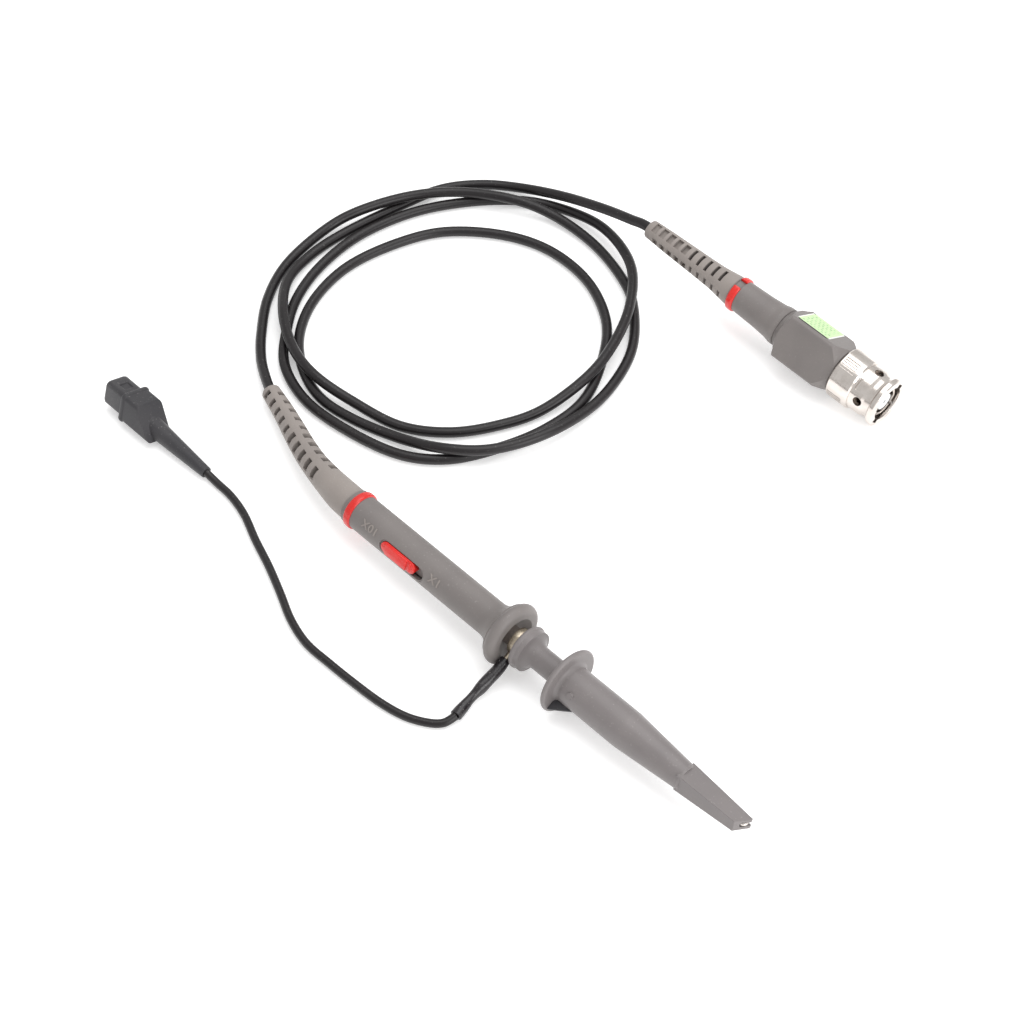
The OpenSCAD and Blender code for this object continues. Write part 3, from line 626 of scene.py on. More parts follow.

# %% [markdown]
# ## Probe cable
# The cable is about a metre of thin screened cable, 2.8 mm over its jacket and fairly limp.
# It leaves the head's boot, drops to the bench, makes three loose turns and a part, and
# climbs into the connector's boot, through which it runs on to the housing. A curve
# through listed points is the natural way to make it: its line is the cable's own centre
# line, so its length can be measured, and where one turn crosses another the points rise
# and fall in a long low hump.

# %% Cable route
CABLE_D = 2.8
CABLE_ROUTE = [
    (-112.8, 13.1, 3.2), (-118.5, 16, 2.4), (-125, 20, 1.5), (-132, 26, 1.5),
    (-141, 36, 1.5), (-147.5, 48.5, 1.5), (-149.5, 64, 2.5), (-147, 75, 4.3),
    (-141.5, 89, 4.4), (-133, 100, 4.4), (-120.5, 108.5, 4.4), (-109, 113.5, 2.5),
    (-94, 114, 1.5), (-79.5, 110, 1.5), (-70, 104.5, 1.5), (-60, 94, 1.5),
    (-54.5, 82.5, 1.5), (-51.5, 69, 2.3), (-52, 53, 4.3), (-57.5, 40, 4.4),
    (-66, 31.5, 4.4), (-78, 27, 2.1), (-92, 23, 1.5), (-104, 22, 1.5),
    (-115.5, 26, 1.5), (-125, 33.5, 1.5), (-132, 45, 1.5), (-135, 59.5, 1.5),
    (-132.5, 75, 1.5), (-126.5, 88, 1.5), (-114.5, 98.5, 1.5), (-101, 103.5, 1.5),
    (-85.5, 102.5, 1.5), (-71.5, 95.5, 1.5), (-62, 84.5, 1.5), (-55, 70, 1.5),
    (-55, 55.5, 1.5), (-59, 42, 1.5), (-65, 31, 1.5), (-74.5, 23.5, 1.5),
    (-89, 19.5, 1.5), (-105, 18.5, 1.5), (-119, 23, 1.5), (-129, 32.5, 1.5),
    (-136, 42.5, 1.5), (-140.5, 55, 1.5), (-142, 70, 1.5), (-139, 85.5, 1.5),
    (-132.5, 98.5, 1.5), (-123, 110, 1.5), (-112, 117, 1.7), (-96, 119, 3.5),
    (-80, 113.5, 4.4), (-69, 102, 4.4), (-62, 88.5, 4.4), (-58.5, 75, 4.3),
    (-60, 60, 1.8), (-64.5, 48, 1.5), (-71.5, 37.5, 1.5), (-82, 30, 1.5),
    (-96, 26.5, 2.5), (-108.5, 24.5, 4.4), (-120, 27, 4.4), (-131.5, 33.5, 4.4),
    (-141.5, 43.5, 2.5), (-145.5, 55.5, 1.5), (-145.5, 69, 1.5), (-143, 86, 1.5),
    (-140, 99, 1.5), (-133.5, 108.5, 1.5), (-124, 115, 2.3), (-111, 118.5, 5.5),
    (-97, 119.4, 9.8), (-86, 119.5, 12.8), connector_point(CONN_BOOT_END), connector_point(-68),
    connector_point(-53),
]


def cord_curve(name, route, diameter, slot):
    """One open smooth spline through the route, with a round section."""
    data = bpy.data.curves.new(name, "CURVE")
    data.dimensions = "3D"
    data.resolution_u = 8
    data.bevel_depth = diameter / 2 * MM
    data.bevel_resolution = 7
    data.use_fill_caps = True
    spline = data.splines.new("BEZIER")
    spline.bezier_points.add(len(route) - 1)
    points = [Vector(p) * MM for p in route]
    for i, knot in enumerate(spline.bezier_points):
        before = points[max(i - 1, 0)]
        after = points[min(i + 1, len(points) - 1)]
        pull = (after - before) / 6
        knot.handle_left_type = "FREE"
        knot.handle_right_type = "FREE"
        knot.co = points[i]
        knot.handle_left = points[i] - pull
        knot.handle_right = points[i] + pull
    data.materials.append(FINISH[slot])
    obj = linked(name, data)
    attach(obj, "probe")
    return obj


probe_cable = cord_curve("probe_cable", CABLE_ROUTE, CABLE_D, "cable_black")
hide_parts("main_cable")
print("cable points:", len(CABLE_ROUTE))

# %% [markdown]
# ## Ground lead
# The ground lead is a thinner and livelier wire than the cable. It comes out of its
# shrunk sleeve, turns on the bench and runs back along the head in one slow S to the
# tail of the clip. It is the same kind of curve.

# %% Ground lead route
LEAD_D = 2.1
LEAD_Z = 1.1
LEAD_ROUTE = [
    (-5.4, -22.2, 1.75), (-6.2, -25.4, 1.25), (-9, -28, LEAD_Z),
    (-14, -30.5, LEAD_Z), (-21, -32, LEAD_Z), (-30, -32.7, LEAD_Z), (-38, -33, LEAD_Z),
    (-46, -33, LEAD_Z), (-54, -31, LEAD_Z), (-62, -27.5, LEAD_Z), (-70.5, -24, LEAD_Z),
    (-79, -21, LEAD_Z), (-87, -17.8, LEAD_Z), (-94, -16.2, LEAD_Z), (-100, -16, 1.3),
    (-104, -16, 1.9),
]
ground_wire = cord_curve("ground_wire", LEAD_ROUTE, LEAD_D, "cable_black")
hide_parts("ground_lead")
print("lead points:", len(LEAD_ROUTE))

# %% [markdown]
# ## Shrunk sleeve of the ground lead
# Two layers of heat-shrink tube cover the crimp on the ring. Shrunk tube keeps the form of
# what it grips, so it has a thick end over the crimp, a waist, and a second thick part
# that ends in a blunt cut edge. A swept tube with its own radius at each step gives the
# large form, and two slow waves round the section give the uneven squeeze.

# %% Shrunk sleeve
SHRINK_ROUTE = [
    Vector((-6.8, -4.457, 5.922)), Vector((-6.65, -7.8, 4.4)), Vector((-6.6, -11.4, 3.3)),
    Vector((-6.4, -15, 2.5)), Vector((-6, -18.8, 2)), Vector((-5.4, -22.2, 1.75)),
]
SHRINK_RADII = [1.2, 1.42, 1.55, 1.6, 1.6, 1.52, 1.2, 1.12, 1.3, 1.45, 1.5]


def squeezed(i, t):
    return 1 + 0.05 * math.cos(2 * t + 0.12 * i) + 0.02 * math.sin(3 * t - 0.31 * i)


shrink_line = smooth(SHRINK_ROUTE, 12)
per_radius = (len(shrink_line) - 1) // (len(SHRINK_RADII) - 1)
shrink_radii = smooth(SHRINK_RADII, per_radius)
shrink_sleeve = sweep_tube("shrink_sleeve", shrink_line, shrink_radii, 28, squeezed)
round_edges(shrink_sleeve, 0.18, 2, 50)
piece(shrink_sleeve, BENCH, "shrink_black", "probe", "ground_heat_shrink")

# %% [markdown]
# ## Windows of the strain reliefs
# Both boots bend because rows of small windows are moulded through their walls, one row on
# each of four sides, with neighbouring rows half a step apart. The eighty cuts could be
# placed by hand, but they follow a rule, so a Geometry Nodes tree makes them: it trims the
# boot's centre line to the windowed stretch, puts a block on each of the evenly spaced
# points, turns it to the line, steps it out from the axis and repeats that on each side.

# %% Start and end of a tree


def start_tree(name, inputs):
    """A Geometry Nodes tree with named inputs, and its first and last node."""
    tree = bpy.data.node_groups.new(name, "GeometryNodeTree")
    tree.interface.new_socket("Geometry", in_out="INPUT", socket_type="NodeSocketGeometry")
    for label, (kind, value) in inputs.items():
        socket = tree.interface.new_socket(label, in_out="INPUT", socket_type=kind)
        if value is not None:
            socket.default_value = value
    tree.interface.new_socket("Geometry", in_out="OUTPUT", socket_type="NodeSocketGeometry")
    return tree, tree.nodes.new("NodeGroupInput"), tree.nodes.new("NodeGroupOutput")


def end_tree(tree, given, made, geometry):
    """Makes the instances real and gives them the tree's material."""
    real = add(tree, "GeometryNodeRealizeInstances", {"Geometry": geometry})
    finish = add(tree, "GeometryNodeSetMaterial", {
        "Geometry": real.outputs["Geometry"], "Material": given.outputs["Material"],
    })
    feed(tree, made, {"Geometry": finish.outputs["Geometry"]})
    return tree


print("tree helpers ready")

# %% [markdown]
# The tree's inputs are what differs between the two boots: where a row starts and ends, how
# many windows it has, their size and depth, and how far the rows are turned about the line.

# %% Tree of window blocks
WINDOW_INPUTS = {
    "First window": ("NodeSocketFloat", 2.0),
    "Last window": ("NodeSocketFloat", 22.0),
    "Windows in a row": ("NodeSocketInt", 10),
    "Row stagger": ("NodeSocketFloat", 1.0),
    "Block size": ("NodeSocketVector", (1.2, 2.2, 4.0)),
    "Axis to block": ("NodeSocketFloat", 1.1),
    "Turn": ("NodeSocketFloat", 0.0),
    "Material": ("NodeSocketMaterial", None),
}


def window_tree():
    tree, given, made = start_tree("Boot windows", WINDOW_INPUTS)
    line = add(tree, "GeometryNodeMeshToCurve", {"Mesh": given.outputs["Geometry"]})
    block = add(tree, "GeometryNodeMeshCube", {"Size": given.outputs["Block size"]})
    parts = add(tree, "ShaderNodeSeparateXYZ", {0: given.outputs["Block size"]})
    half_depth = math_node(tree, "MULTIPLY", parts.outputs["Z"], 0.5)
    out = math_node(tree, "ADD", given.outputs["Axis to block"], half_depth)
    step_out = add(tree, "ShaderNodeCombineXYZ", {"Z": out})
    gather = add(tree, "GeometryNodeJoinGeometry")
    for side in range(4):
        stagger = math_node(tree, "MULTIPLY", given.outputs["Row stagger"], float(side % 2))
        trim = add(tree, "GeometryNodeTrimCurve", {"Curve": line.outputs["Curve"]}, mode="LENGTH")
        lengths = [s for s in trim.inputs if s.type == "VALUE" and s.enabled]
        for socket, label in zip(lengths[-2:], ("First window", "Last window")):
            tree.links.new(math_node(tree, "ADD", given.outputs[label], stagger), socket)
        spaced = add(tree, "GeometryNodeResampleCurve", {
            "Curve": trim.outputs["Curve"], "Count": given.outputs["Windows in a row"],
        })
        tangent = add(tree, "GeometryNodeInputTangent").outputs[0]
        along = add(tree, "FunctionNodeAlignRotationToVector", {"Vector": tangent}, axis="X")
        placed = add(tree, "GeometryNodeInstanceOnPoints", {
            "Points": spaced.outputs["Curve"], "Instance": block.outputs["Mesh"],
            "Rotation": along.outputs[0],
        })
        quarter = math_node(tree, "ADD", given.outputs["Turn"], side * math.pi / 2)
        angle = add(tree, "ShaderNodeCombineXYZ", {"X": quarter})
        turned = add(tree, "GeometryNodeRotateInstances", {
            "Instances": placed.outputs["Instances"], "Rotation": angle.outputs[0],
        })
        moved = add(tree, "GeometryNodeTranslateInstances", {
            "Instances": turned.outputs["Instances"], "Translation": step_out.outputs[0],
        })
        feed(tree, gather, {"Geometry": moved.outputs["Instances"]})
    return end_tree(tree, given, made, gather.outputs["Geometry"])


WINDOWS = window_tree()
print("window tree nodes:", len(WINDOWS.nodes))

# %% [markdown]
# A tree runs as a modifier on a start mesh. Its named values are set first, and what it
# makes is taken out as a plain mesh, so that nothing live stays behind.

# %% Running a tree on a mesh


def grown(name, tree, mesh, **values):
    """A plain mesh object that the tree makes from a start mesh and named values."""
    obj = linked(name, mesh)
    modifier = obj.modifiers.new("grow", "NODES")
    modifier.node_group = tree
    for item in tree.interface.items_tree:
        label = item.name.replace(" ", "_")
        if item.in_out == "INPUT" and label in values:
            modifier[item.identifier] = values[label]
    return settled(obj)


def line_mesh(points):
    mesh = bpy.data.meshes.new("line")
    mesh.from_pydata([tuple(p) for p in points], [(i, i + 1) for i in range(len(points) - 1)], [])
    return mesh


def cut_windows(boot, line, rows, **shared):
    """Cuts each group of rows from a boot, with the values that all of them share."""
    for size, row in rows.items():
        carve(boot, grown(
            size + "_windows", WINDOWS, line_mesh(line), Windows_in_a_row=5,
            Material=FINISH["boot_grey"], **shared, **row,
        ))


print("tree runner ready")

# %% [markdown]
# ## Strain relief of the head
# The boot on the head is soft vinyl. It is drawn down in a smooth cone from the red ring to
# the windowed stretch and keeps the bend that the cable gives it. A swept tube with the
# boot's radii gives the bent form, a thinner tube bores it, and the window blocks cut it.
# The cable shows dark through the windows, so a stub of cable runs inside.

# %% Boot on the head
BOOT_ROUTE = [
    Vector(p) for p in (
        (-65, 0, AXIS_Z), (-70, 0.2, AXIS_Z), (-76, 1.2, 7.9), (-83, 2.8, 6.8),
        (-90, 5, 5.7), (-97.5, 7.8, 4.8), (-105, 10.6, 3.9), (-112.8, 13.1, 3.2),
    )
]
BOOT_RADII = [4.4, 4.3, 3.9, 3.5, 3.3, 3.1, 2.8, 2.5]
TUNNEL_R = 1.55
TUNNEL_SIDES = 24
CORE_PLAY = 0.02
boot_line = smooth(BOOT_ROUTE, 8)
head_boot = sweep_tube("head_strain_boot", boot_line, smooth(BOOT_RADII, 8), 48)
round_edges(head_boot, 0.5, 3, 50)
past_end = boot_line[-1] + (boot_line[-1] - boot_line[-2])
tunnel_line = boot_line[10:-3] + [past_end]
tunnel_radii = [TUNNEL_R] * len(tunnel_line)
carve(head_boot, sweep_tube("tunnel", tunnel_line, tunnel_radii, TUNNEL_SIDES))
HEAD_ROW_TURN = 48
HEAD_ROWS = {
    "small": dict(First_window=2.2, Last_window=17.4, Block_size=(1.5, 2.5, 4.0)),
    "large": dict(First_window=21.2, Last_window=36.4, Block_size=(1.85, 3.3, 4.0)),
}
cut_windows(
    head_boot, boot_line[::-1], HEAD_ROWS, Row_stagger=1.9, Axis_to_block=1.0,
    Turn=math.radians(HEAD_ROW_TURN),
)
piece(head_boot, BENCH, "boot_grey", "probe", "probe_boot")
core_line = tunnel_line[:-1]
core_radii = [CABLE_D / 2 - CORE_PLAY] * len(core_line)
head_core = sweep_tube("cable_in_head_boot", core_line, core_radii, 20)
piece(head_core, BENCH, "cable_black", "probe")

# %% [markdown]
# ## Strain relief of the connector
# The boot at the connector is straight, so the lathe makes it. It is slimmer at the cable
# and swells to a collar under the red ring. The same tree cuts its windows: shallow ones
# near the cable, and narrow deep ones near the ring, a little turned about the axis.

# %% Boot on the connector
CONN_BOOT_OUTLINE = [
    (CONN_BOOT_END, TUNNEL_R), (CONN_BOOT_END, 2.2), (CONN_BOOT_END + 0.15, 2.45),
    (CONN_BOOT_END + 0.5, 2.62), (-76, 2.95), (-70, 3.14), (-64, 3.34), (-59, 3.55),
    (-57, 3.75), (-55, 4.02), (-53, 4.28), (-52, 4.35), (-52, TUNNEL_R),
]
connector_boot = lathe("connector_strain_boot", CONN_BOOT_OUTLINE, 64)
conn_line = [Vector((CONN_BOOT_END + k, 0, 0)) for k in range(31)]
CONNECTOR_ROW_TURN = 15
CONNECTOR_ROWS = {
    "shallow": dict(First_window=2.7, Last_window=13.34, Block_size=(1.75, 2.8, 4.0),
                    Axis_to_block=1.75),
    "deep": dict(First_window=16.0, Last_window=26.64, Block_size=(0.95, 3.5, 4.0),
                 Axis_to_block=1.1),
}
cut_windows(
    connector_boot, conn_line, CONNECTOR_ROWS, Row_stagger=1.33,
    Turn=math.radians(CONNECTOR_ROW_TURN),
)
piece(connector_boot, CONNECTOR, "boot_grey", "probe", "connector_boot")

# %% [markdown]
# ## Red marker rings
# A coloured ring at each end tells which probe is on which channel. The ring on the head is
# whole. The one on the connector is a spring ring with a gap that faces up, so it can be
# changed. Both are turned from one outline with rounded shoulders.

# %% Marker rings
RING_W = 2.2
RING_ROUND = 0.6


def ring_outline(rear, inner, outer):
    front = rear + RING_W
    shoulder = outer - RING_ROUND
    return ([(rear, inner)] + arc(rear + RING_ROUND, shoulder, RING_ROUND, 180, 90, 5)
            + arc(front - RING_ROUND, shoulder, RING_ROUND, 90, 0, 5) + [(front, inner)])


head_ring = lathe("head_marker_ring", ring_outline(rear=-64.1, inner=4.08, outer=5.1), 96)
piece(head_ring, HEAD, "marker_red", "probe", "probe_marker_ring")
RING_GAP = 34
RING_GAP_AT = 93
connector_ring = lathe(
    "connector_marker_ring_red", ring_outline(rear=-51.8, inner=4.03, outer=4.95), 80,
    first=RING_GAP_AT + RING_GAP / 2, sweep=360 - RING_GAP,
)
round_edges(connector_ring, 0.2, 2, 60)
piece(connector_ring, CONNECTOR, "marker_red", "probe", "connector_marker_ring")

# %% [markdown]
# ## Attenuation slider
# The red slider rides in a slot of the barrel. Its plate has round ends and follows the
# barrel's curve, and a raised grip with a step near its front gives the thumb a hold. Flat
# slabs are made first with their edges rounded, and then the whole is wrapped on the barrel:
# local y becomes an arc and local z a radius. The marks beside the slot are made the same way.

# %% Wrapping on the barrel
HANDLE_R = 4.65


def cut_across(bm, low, high, step):
    """Cuts a mesh into strips along local x, so that it can bend round the barrel."""
    y = low
    while y < high:
        everything = bm.verts[:] + bm.edges[:] + bm.faces[:]
        bmesh.ops.bisect_plane(bm, geom=everything, plane_co=(0, y, 0), plane_no=(0, 1, 0))
        y += step


def wrap(mesh, radius=HANDLE_R):
    """Bends a flat mesh round local x: y is an arc at the barrel's radius, z a radius."""
    for v in mesh.vertices:
        angle = v.co.y / radius
        v.co.y, v.co.z = v.co.z * math.sin(angle), v.co.z * math.cos(angle)


# %% [markdown]
# The plate and its grip are welded, and a shutter rides under the plate. The shutter is
# what keeps dirt out of the slot's open end while the slider stands at the other.

# %% Slider
SLIDER_REAR = -50.5
SLIDER_LEN = 11.8
SLIDER_W = 3.4
PLATE_FOOT = 2.7
PLATE_RISE = 0.12
GRIP = ((1.7, -1.45, 3.5), (SLIDER_LEN - 2.7, 1.45, HANDLE_R + 0.55))
STEP = ((SLIDER_LEN - 2.1, -1.2, 3.5), (SLIDER_LEN - 1.3, 1.2, HANDLE_R + 0.34))
SHUTTER = ((0.8, -2.2, 2.66), (SLIDER_LEN + 2.4, 2.2, 3.3))


def slab_object(name, bm, at_x, rounding):
    bmesh.ops.translate(bm, vec=(at_x, 0, 0), verts=bm.verts)
    obj = loose(bm, name)
    return round_edges(obj, rounding, 3, 50)


plate = stadium(SLIDER_LEN, SLIDER_W, PLATE_FOOT, HANDLE_R + PLATE_RISE)
slider = slab_object("attenuation_slider", plate, SLIDER_REAR, 0.22)
for part, box, rounding in (("grip", GRIP, 0.25), ("step", STEP, 0.15)):
    carve(slider, slab_object(part, box_slab(*box), SLIDER_REAR, rounding), "UNION")
slider_mesh = bmesh.new()
slider_mesh.from_mesh(slider.data)
cut_across(slider_mesh, -2.0, 2.0, 0.4)
slider_mesh.to_mesh(slider.data)
slider_mesh.free()
wrap(slider.data)
piece(slider, SLOT, "marker_red", "slider", "switch_slider")
shutter = slab_object("slider_shutter", box_slab(*SHUTTER), SLIDER_REAR, 0.1)
wrap(shutter.data)
piece(shutter, SLOT, "shell_grey", "slider", "switch_slider")

# %% [markdown]
# ## Marks beside the slider
# The two ends of the slider's travel carry plain marks for the attenuation, raised a tenth
# of a millimetre and read from the other side of the head. A text curve gives the outlines.
# It is made a mesh first, cut into strips, given a wall and wrapped on the barrel. The marks
# take a lighter grey than the shell, as a painted highlight on their raised faces.

# %% Raised marks
MARK_RISE = 0.13
MARK_SINK = 0.2
MARK_HEIGHT = 2.1


def raised_mark(name, word, from_x, to_x, lean):
    text = bpy.data.curves.new(name, "FONT")
    text.body = word
    text.align_x = "CENTER"
    text.align_y = "CENTER"
    text.offset = 0.012
    holder = linked("holder", text)
    mesh = plain_mesh(holder)
    bpy.data.objects.remove(holder)
    bm = bmesh.new()
    bm.from_mesh(mesh)
    bmesh.ops.remove_doubles(bm, verts=bm.verts, dist=0.0005)
    xs = [v.co.x for v in bm.verts]
    ys = [v.co.y for v in bm.verts]
    middle = Vector(((max(xs) + min(xs)) / 2, (max(ys) + min(ys)) / 2, 0))
    stretch = ((to_x - from_x) / (max(xs) - min(xs)), MARK_HEIGHT / (max(ys) - min(ys)))
    for v in bm.verts:
        v.co -= middle
        v.co.x *= -stretch[0]
        v.co.y *= -stretch[1]
        v.co.x += (from_x + to_x) / 2
        v.co.z = HANDLE_R - MARK_SINK
    cut_across(bm, -MARK_HEIGHT / 2 + 0.15, MARK_HEIGHT / 2, 0.3)
    wall = bmesh.ops.extrude_face_region(bm, geom=bm.faces[:])
    raised = [g for g in wall["geom"] if isinstance(g, bmesh.types.BMVert)]
    bmesh.ops.translate(bm, vec=(0, 0, MARK_SINK + MARK_RISE), verts=raised)
    obj = loose(bm, name)
    wrap(obj.data)
    # Boot grey is lighter than the shell: a painted highlight on the raised marks.
    return piece(obj, HEAD @ roll(lean), "boot_grey", "probe", sharp=30)


MARK_LEAN = 51
MARKS = {"mark_ten": ("10X", -58.1, -53.2), "mark_one": ("1X", -34.3, -30.9)}
for name, (word, from_x, to_x) in MARKS.items():
    raised_mark(name, word, from_x, to_x, MARK_LEAN)

# %% [markdown]
# ## Label
# The sticker lies on the upper side of the square housing. It is a sheet a tenth of a
# millimetre thick with rounded corners, and it has its own coordinates for the print.

# %% Label on the housing
LABEL_AT = (-31.5, 6.3, -5.0)
LABEL_SIZE = (10.6, 0.12, 10.0)


def label_piece():
    rear, face, low = LABEL_AT
    bm = box_slab((rear, face, low), (rear + LABEL_SIZE[0], face + LABEL_SIZE[1],
                                      low + LABEL_SIZE[2]))
    uprights = [e for e in bm.edges if abs(e.verts[0].co.y - e.verts[1].co.y) > 0.05]
    bmesh.ops.bevel(bm, geom=uprights, offset=0.6, segments=4, affect="EDGES")
    obj = loose(bm, "housing_sticker")
    uv = obj.data.uv_layers.new(name="label")
    for corner in obj.data.loops:
        co = obj.data.vertices[corner.vertex_index].co
        uv.data[corner.index].uv = ((co.x - rear) / LABEL_SIZE[0], (co.z - low) / LABEL_SIZE[2])
    return piece(obj, HOUSING, "label_green", "probe", "housing_label")


sticker = label_piece()

# %% [markdown]
# ## Springs
# The hook's spring is a rule made visible: wire on a helix. A tree sets a spiral's radius,
# height and turns and sweeps a round wire along it. As the finger flange is drawn back the
# spring closes up; the piece here rides the hook's body. The wave spring
# behind the plug's coupling is a flat ring that rises and falls three times.

# %% Hook spring
SPRING_INPUTS = {
    "Coil radius": ("NodeSocketFloat", 1.9),
    "Coil height": ("NodeSocketFloat", 13.4),
    "Turns": ("NodeSocketFloat", 7.0),
    "Wire radius": ("NodeSocketFloat", 0.28),
    "Material": ("NodeSocketMaterial", None),
}


def spring_tree():
    tree, given, made = start_tree("Coil spring", SPRING_INPUTS)
    helix = add(tree, "GeometryNodeCurveSpiral", {
        "Resolution": 32, "Rotations": given.outputs["Turns"],
        "Start Radius": given.outputs["Coil radius"], "End Radius": given.outputs["Coil radius"],
        "Height": given.outputs["Coil height"],
    })
    section = add(tree, "GeometryNodeCurvePrimitiveCircle", {
        "Resolution": 12, "Radius": given.outputs["Wire radius"],
    })
    wire = add(tree, "GeometryNodeCurveToMesh", {
        "Curve": helix.outputs["Curve"], "Profile Curve": section.outputs["Curve"],
        "Fill Caps": True,
    })
    return end_tree(tree, given, made, wire.outputs["Mesh"])


SPRING_SEAT = 30
SPRING_WIRE = 0.28
hook_coil = grown(
    "hook_coil", spring_tree(), bpy.data.meshes.new("start"),
    Coil_radius=1.9, Coil_height=13.4, Turns=7.0, Wire_radius=SPRING_WIRE,
    Material=FINISH["steel"],
)
coil_start = Matrix.Translation((SPRING_SEAT + SPRING_WIRE, 0, 0))
along_head = HEAD @ coil_start @ Matrix.Rotation(math.pi / 2, 4, "Y")
piece(hook_coil, along_head, "steel", "hook", "hook_spring", sharp=60)
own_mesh(hook_coil)

# %% [markdown]
# The wave spring is a rolled strip whose height follows a sine, so a ring of rectangles
# makes it. It flattens when the coupling is pressed.

# %% Wave spring
WAVE = dict(inner=4.8, outer=5.9, thick=0.24, middle=-12, swing=0.38, waves=3)


def wave_ring(name, inner, outer, thick, middle, swing, waves, steps=144):
    bm = bmesh.new()
    rings = []
    for k in range(steps):
        t = math.tau * k / steps
        u = middle + swing * math.sin(waves * t)
        rings.append([
            bm.verts.new((u + du, r * math.cos(t), r * math.sin(t)))
            for du, r in ((-thick / 2, inner), (-thick / 2, outer),
                          (thick / 2, outer), (thick / 2, inner))
        ])
    skin(bm, rings, capped=False)
    return loose(bm, name)


wave_spring = wave_ring("wave_washer", **WAVE)
piece(wave_spring, CONNECTOR, "steel", "probe", "bnc_wave_spring")
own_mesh(wave_spring)

# %% [markdown]
# ## Clip boot
# The boot of the ground clip is one soft moulding: a square nose over the jaws, a raised
# band, a square body whose back slopes away, and a cone that holds the wire. Square tubes
# with round corners are stacked along the clip, the slope is one straight cut, the cone is
# welded on, and a hollow is cut for the jaws. Rounded edges then make it feel soft.

# %% Clip boot


def square_section(half, corner, steps=6):
    points = []
    for k, (sy, sz) in enumerate(((1, 1), (-1, 1), (-1, -1), (1, -1))):
        for i in range(steps + 1):
            t = math.radians(90 * k + 90 * i / steps)
            points.append((sy * (half - corner) + corner * math.cos(t),
                           sz * (half - corner) + corner * math.sin(t)))
    return points


def square_loft(name, stations, corner):
    """Square rings with round corners at each (x, half width), capped at both ends."""
    bm = bmesh.new()
    rings = []
    for x, half in stations:
        rings.append([bm.verts.new((x, y, z)) for y, z in square_section(half, corner)])
    skin(bm, rings)
    return loose(bm, name)


NOSE_HALF = 3.4
BAND_HALF = 4.3
BODY_HALF = 4.0
SLOPE_AT = (13.3, 0, BODY_HALF)
SLOPE_NORMAL = (math.sin(math.radians(52)), 0, math.cos(math.radians(52)))
CONE_FROM = (15.2, 0.35, -1.75)
CONE_TO = (37.0, 0.9, -2.9)
CONE_R = 2.72
CONE_TAPER = 1.2
CONE_STEPS = 12
CLIP_CORNER = 1.2
CLIP_HOLLOW = ((-1, -2.5, -2.6), (12.5, 2.5, 2.6))
CLIP_NOTCH = ((3.2, -1.4, NOSE_HALF - 0.3), (5.6, 1.4, 5))
CLIP_STATIONS = [
    (0, 2.75), (0.35, 3.15), (0.9, NOSE_HALF), (7.2, NOSE_HALF), (7.45, 3.75),
    (7.6, BAND_HALF - 0.12), (7.9, BAND_HALF), (8.4, BAND_HALF), (8.7, BAND_HALF - 0.12),
    (8.85, BODY_HALF), (19.8, BODY_HALF),
]
clip_cover = square_loft("clip_cover", CLIP_STATIONS, CLIP_CORNER)
clip_bm = bmesh.new()
clip_bm.from_mesh(clip_cover.data)
cut = bmesh.ops.bisect_plane(
    clip_bm, geom=clip_bm.verts[:] + clip_bm.edges[:] + clip_bm.faces[:],
    plane_co=SLOPE_AT, plane_no=SLOPE_NORMAL, clear_outer=True,
)
rim = [g for g in cut["geom_cut"] if isinstance(g, bmesh.types.BMEdge)]
bmesh.ops.contextual_create(clip_bm, geom=rim)
bmesh.ops.recalc_face_normals(clip_bm, faces=clip_bm.faces)
clip_bm.to_mesh(clip_cover.data)
clip_bm.free()
cone_parts = [k / CONE_STEPS for k in range(CONE_STEPS + 1)]
cone_line = [Vector(CONE_FROM).lerp(Vector(CONE_TO), part) for part in cone_parts]
cone_radii = [CONE_R - CONE_TAPER * part for part in cone_parts]
carve(clip_cover, sweep_tube("cone", cone_line, cone_radii, 40), "UNION")
carve(clip_cover, loose(box_slab(*CLIP_HOLLOW), "hollow"))
carve(clip_cover, loose(box_slab(*CLIP_NOTCH), "notch"))
round_edges(clip_cover, 0.28, 3, 38)
piece(clip_cover, CLIP, "clip_black", "probe", "clip_boot")

# %% [markdown]
# ## Rib under the hook's flange
# A thin rib braces the flange of the hook sleeve on its lower left. It lies in the flange's
# shade, so a black prism a little larger than the moulded rib covers it as painted shade.

# %% Rib in painted shade
RIB_TURN = 207
RIB_HALF = 0.48
RIB_OUTLINE = [(9.3, 3.9), (9.3, 8.0), (10.0, 8.0), (16.6, 3.9)]
rib_bm = bmesh.new()
skin(rib_bm, [
    [rib_bm.verts.new((x, y, z)) for x, y in RIB_OUTLINE] for z in (-RIB_HALF, RIB_HALF)
])
painted_shade_rib = round_edges(loose(rib_bm, "sleeve_rib"), 0.1, 2, 40)
# The black finish on the rib is painted shade where the flange shades it.
piece(painted_shade_rib, HEAD @ roll(RIB_TURN), "clip_black", "sleeve")

# %% [markdown]
# ## CAD parts that stay
# The shells, the hook, the plug and the small inner parts are already right in shape, so
# they stay as they are. Each gets the finish of its material slot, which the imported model
# names on the node.

# %% Finishes on the CAD parts
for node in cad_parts.values():
    slot_name = node.data.materials[0].name.split(".")[0]
    node.data.materials[0] = FINISH[slot_name]
print("CAD nodes with a finish:", len(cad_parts))

# %% [markdown]
# ## The cords
# Two free cords are made above: the cable, whose far end carries the whole connector,
# and the ground lead, whose far end carries the clip.

# %% Cord facts
print("cords: 2")

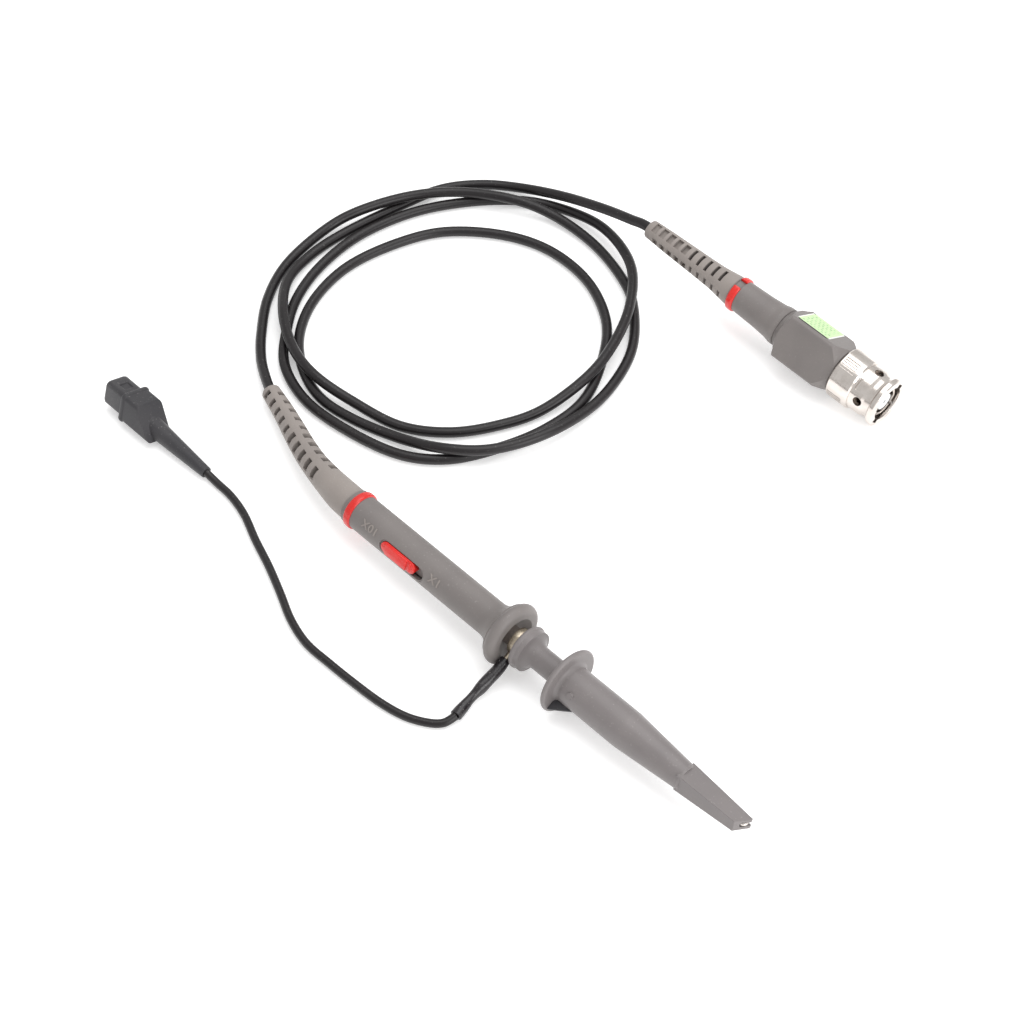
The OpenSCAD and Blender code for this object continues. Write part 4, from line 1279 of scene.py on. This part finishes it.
# %% [markdown]
# ## Bench and light
# The bench is a plain, pale, matt sheet, lit a little from below so that shadows stay
# faint. A wide soft panel overhead and beyond the probe, a smaller one low on the right and
# a bright even sky give the light of a small product tent: soft shadows right under the
# cords, and long quiet highlights on the plug.

# %% Bench
bench_mesh = bpy.data.meshes.new("bench")
BENCH_HALF = 3.0
BENCH_GAP = 0.00005
BENCH_GLOW = 0.36
corners = [(-BENCH_HALF, -BENCH_HALF, 0), (BENCH_HALF, -BENCH_HALF, 0),
           (BENCH_HALF, BENCH_HALF, 0), (-BENCH_HALF, BENCH_HALF, 0)]
bench_mesh.from_pydata(corners, [], [(0, 1, 2, 3)])
bench = linked("bench", bench_mesh)
bench.location.z = -BENCH_GAP
bench_paint, bench_tree, bench_shader = new_material("Pale matt bench")
clouds = noise(bench_tree, object_place(bench_tree), 3.0, 2)
feed(bench_tree, bench_shader, {
    "Base Color": mix_colour(bench_tree, clouds, (0.90, 0.90, 0.90), (0.93, 0.93, 0.93)),
    "Roughness": 0.8,
    "Emission Color": (1, 1, 1, 1),
    "Emission Strength": BENCH_GLOW,
})
bench_mesh.materials.append(bench_paint)

# %% [markdown]
# The panels are large beside the probe, so their edges are soft on the plastics and long
# on the plug.

# %% Light
PROBE_MIDDLE = (-0.04, 0.04, 0)
SKY_TINT = (1.0, 0.995, 0.99, 1)
SKY_STRENGTH = 0.72


def soft_panel(name, at, size, watts):
    lamp = bpy.data.lights.new(name, "AREA")
    lamp.shape = "SQUARE"
    lamp.size = size
    lamp.energy = watts
    obj = linked(name, lamp)
    obj.location = at
    obj.rotation_mode = "QUATERNION"
    obj.rotation_quaternion = (Vector(PROBE_MIDDLE) - Vector(at)).to_track_quat("-Z", "Y")


soft_panel("overhead_panel", at=(-0.05, 0.35, 1.1), size=1.1, watts=8)
soft_panel("front_panel", at=(0.75, 0.05, 0.35), size=0.5, watts=3.2)
world = bpy.data.worlds.new("tent")
world.use_nodes = True
sky = world.node_tree.nodes["Background"]
sky.inputs["Color"].default_value = SKY_TINT
sky.inputs["Strength"].default_value = SKY_STRENGTH
bpy.context.scene.world = world
bpy.context.scene.view_settings.view_transform = "Standard"
print("lights ready")
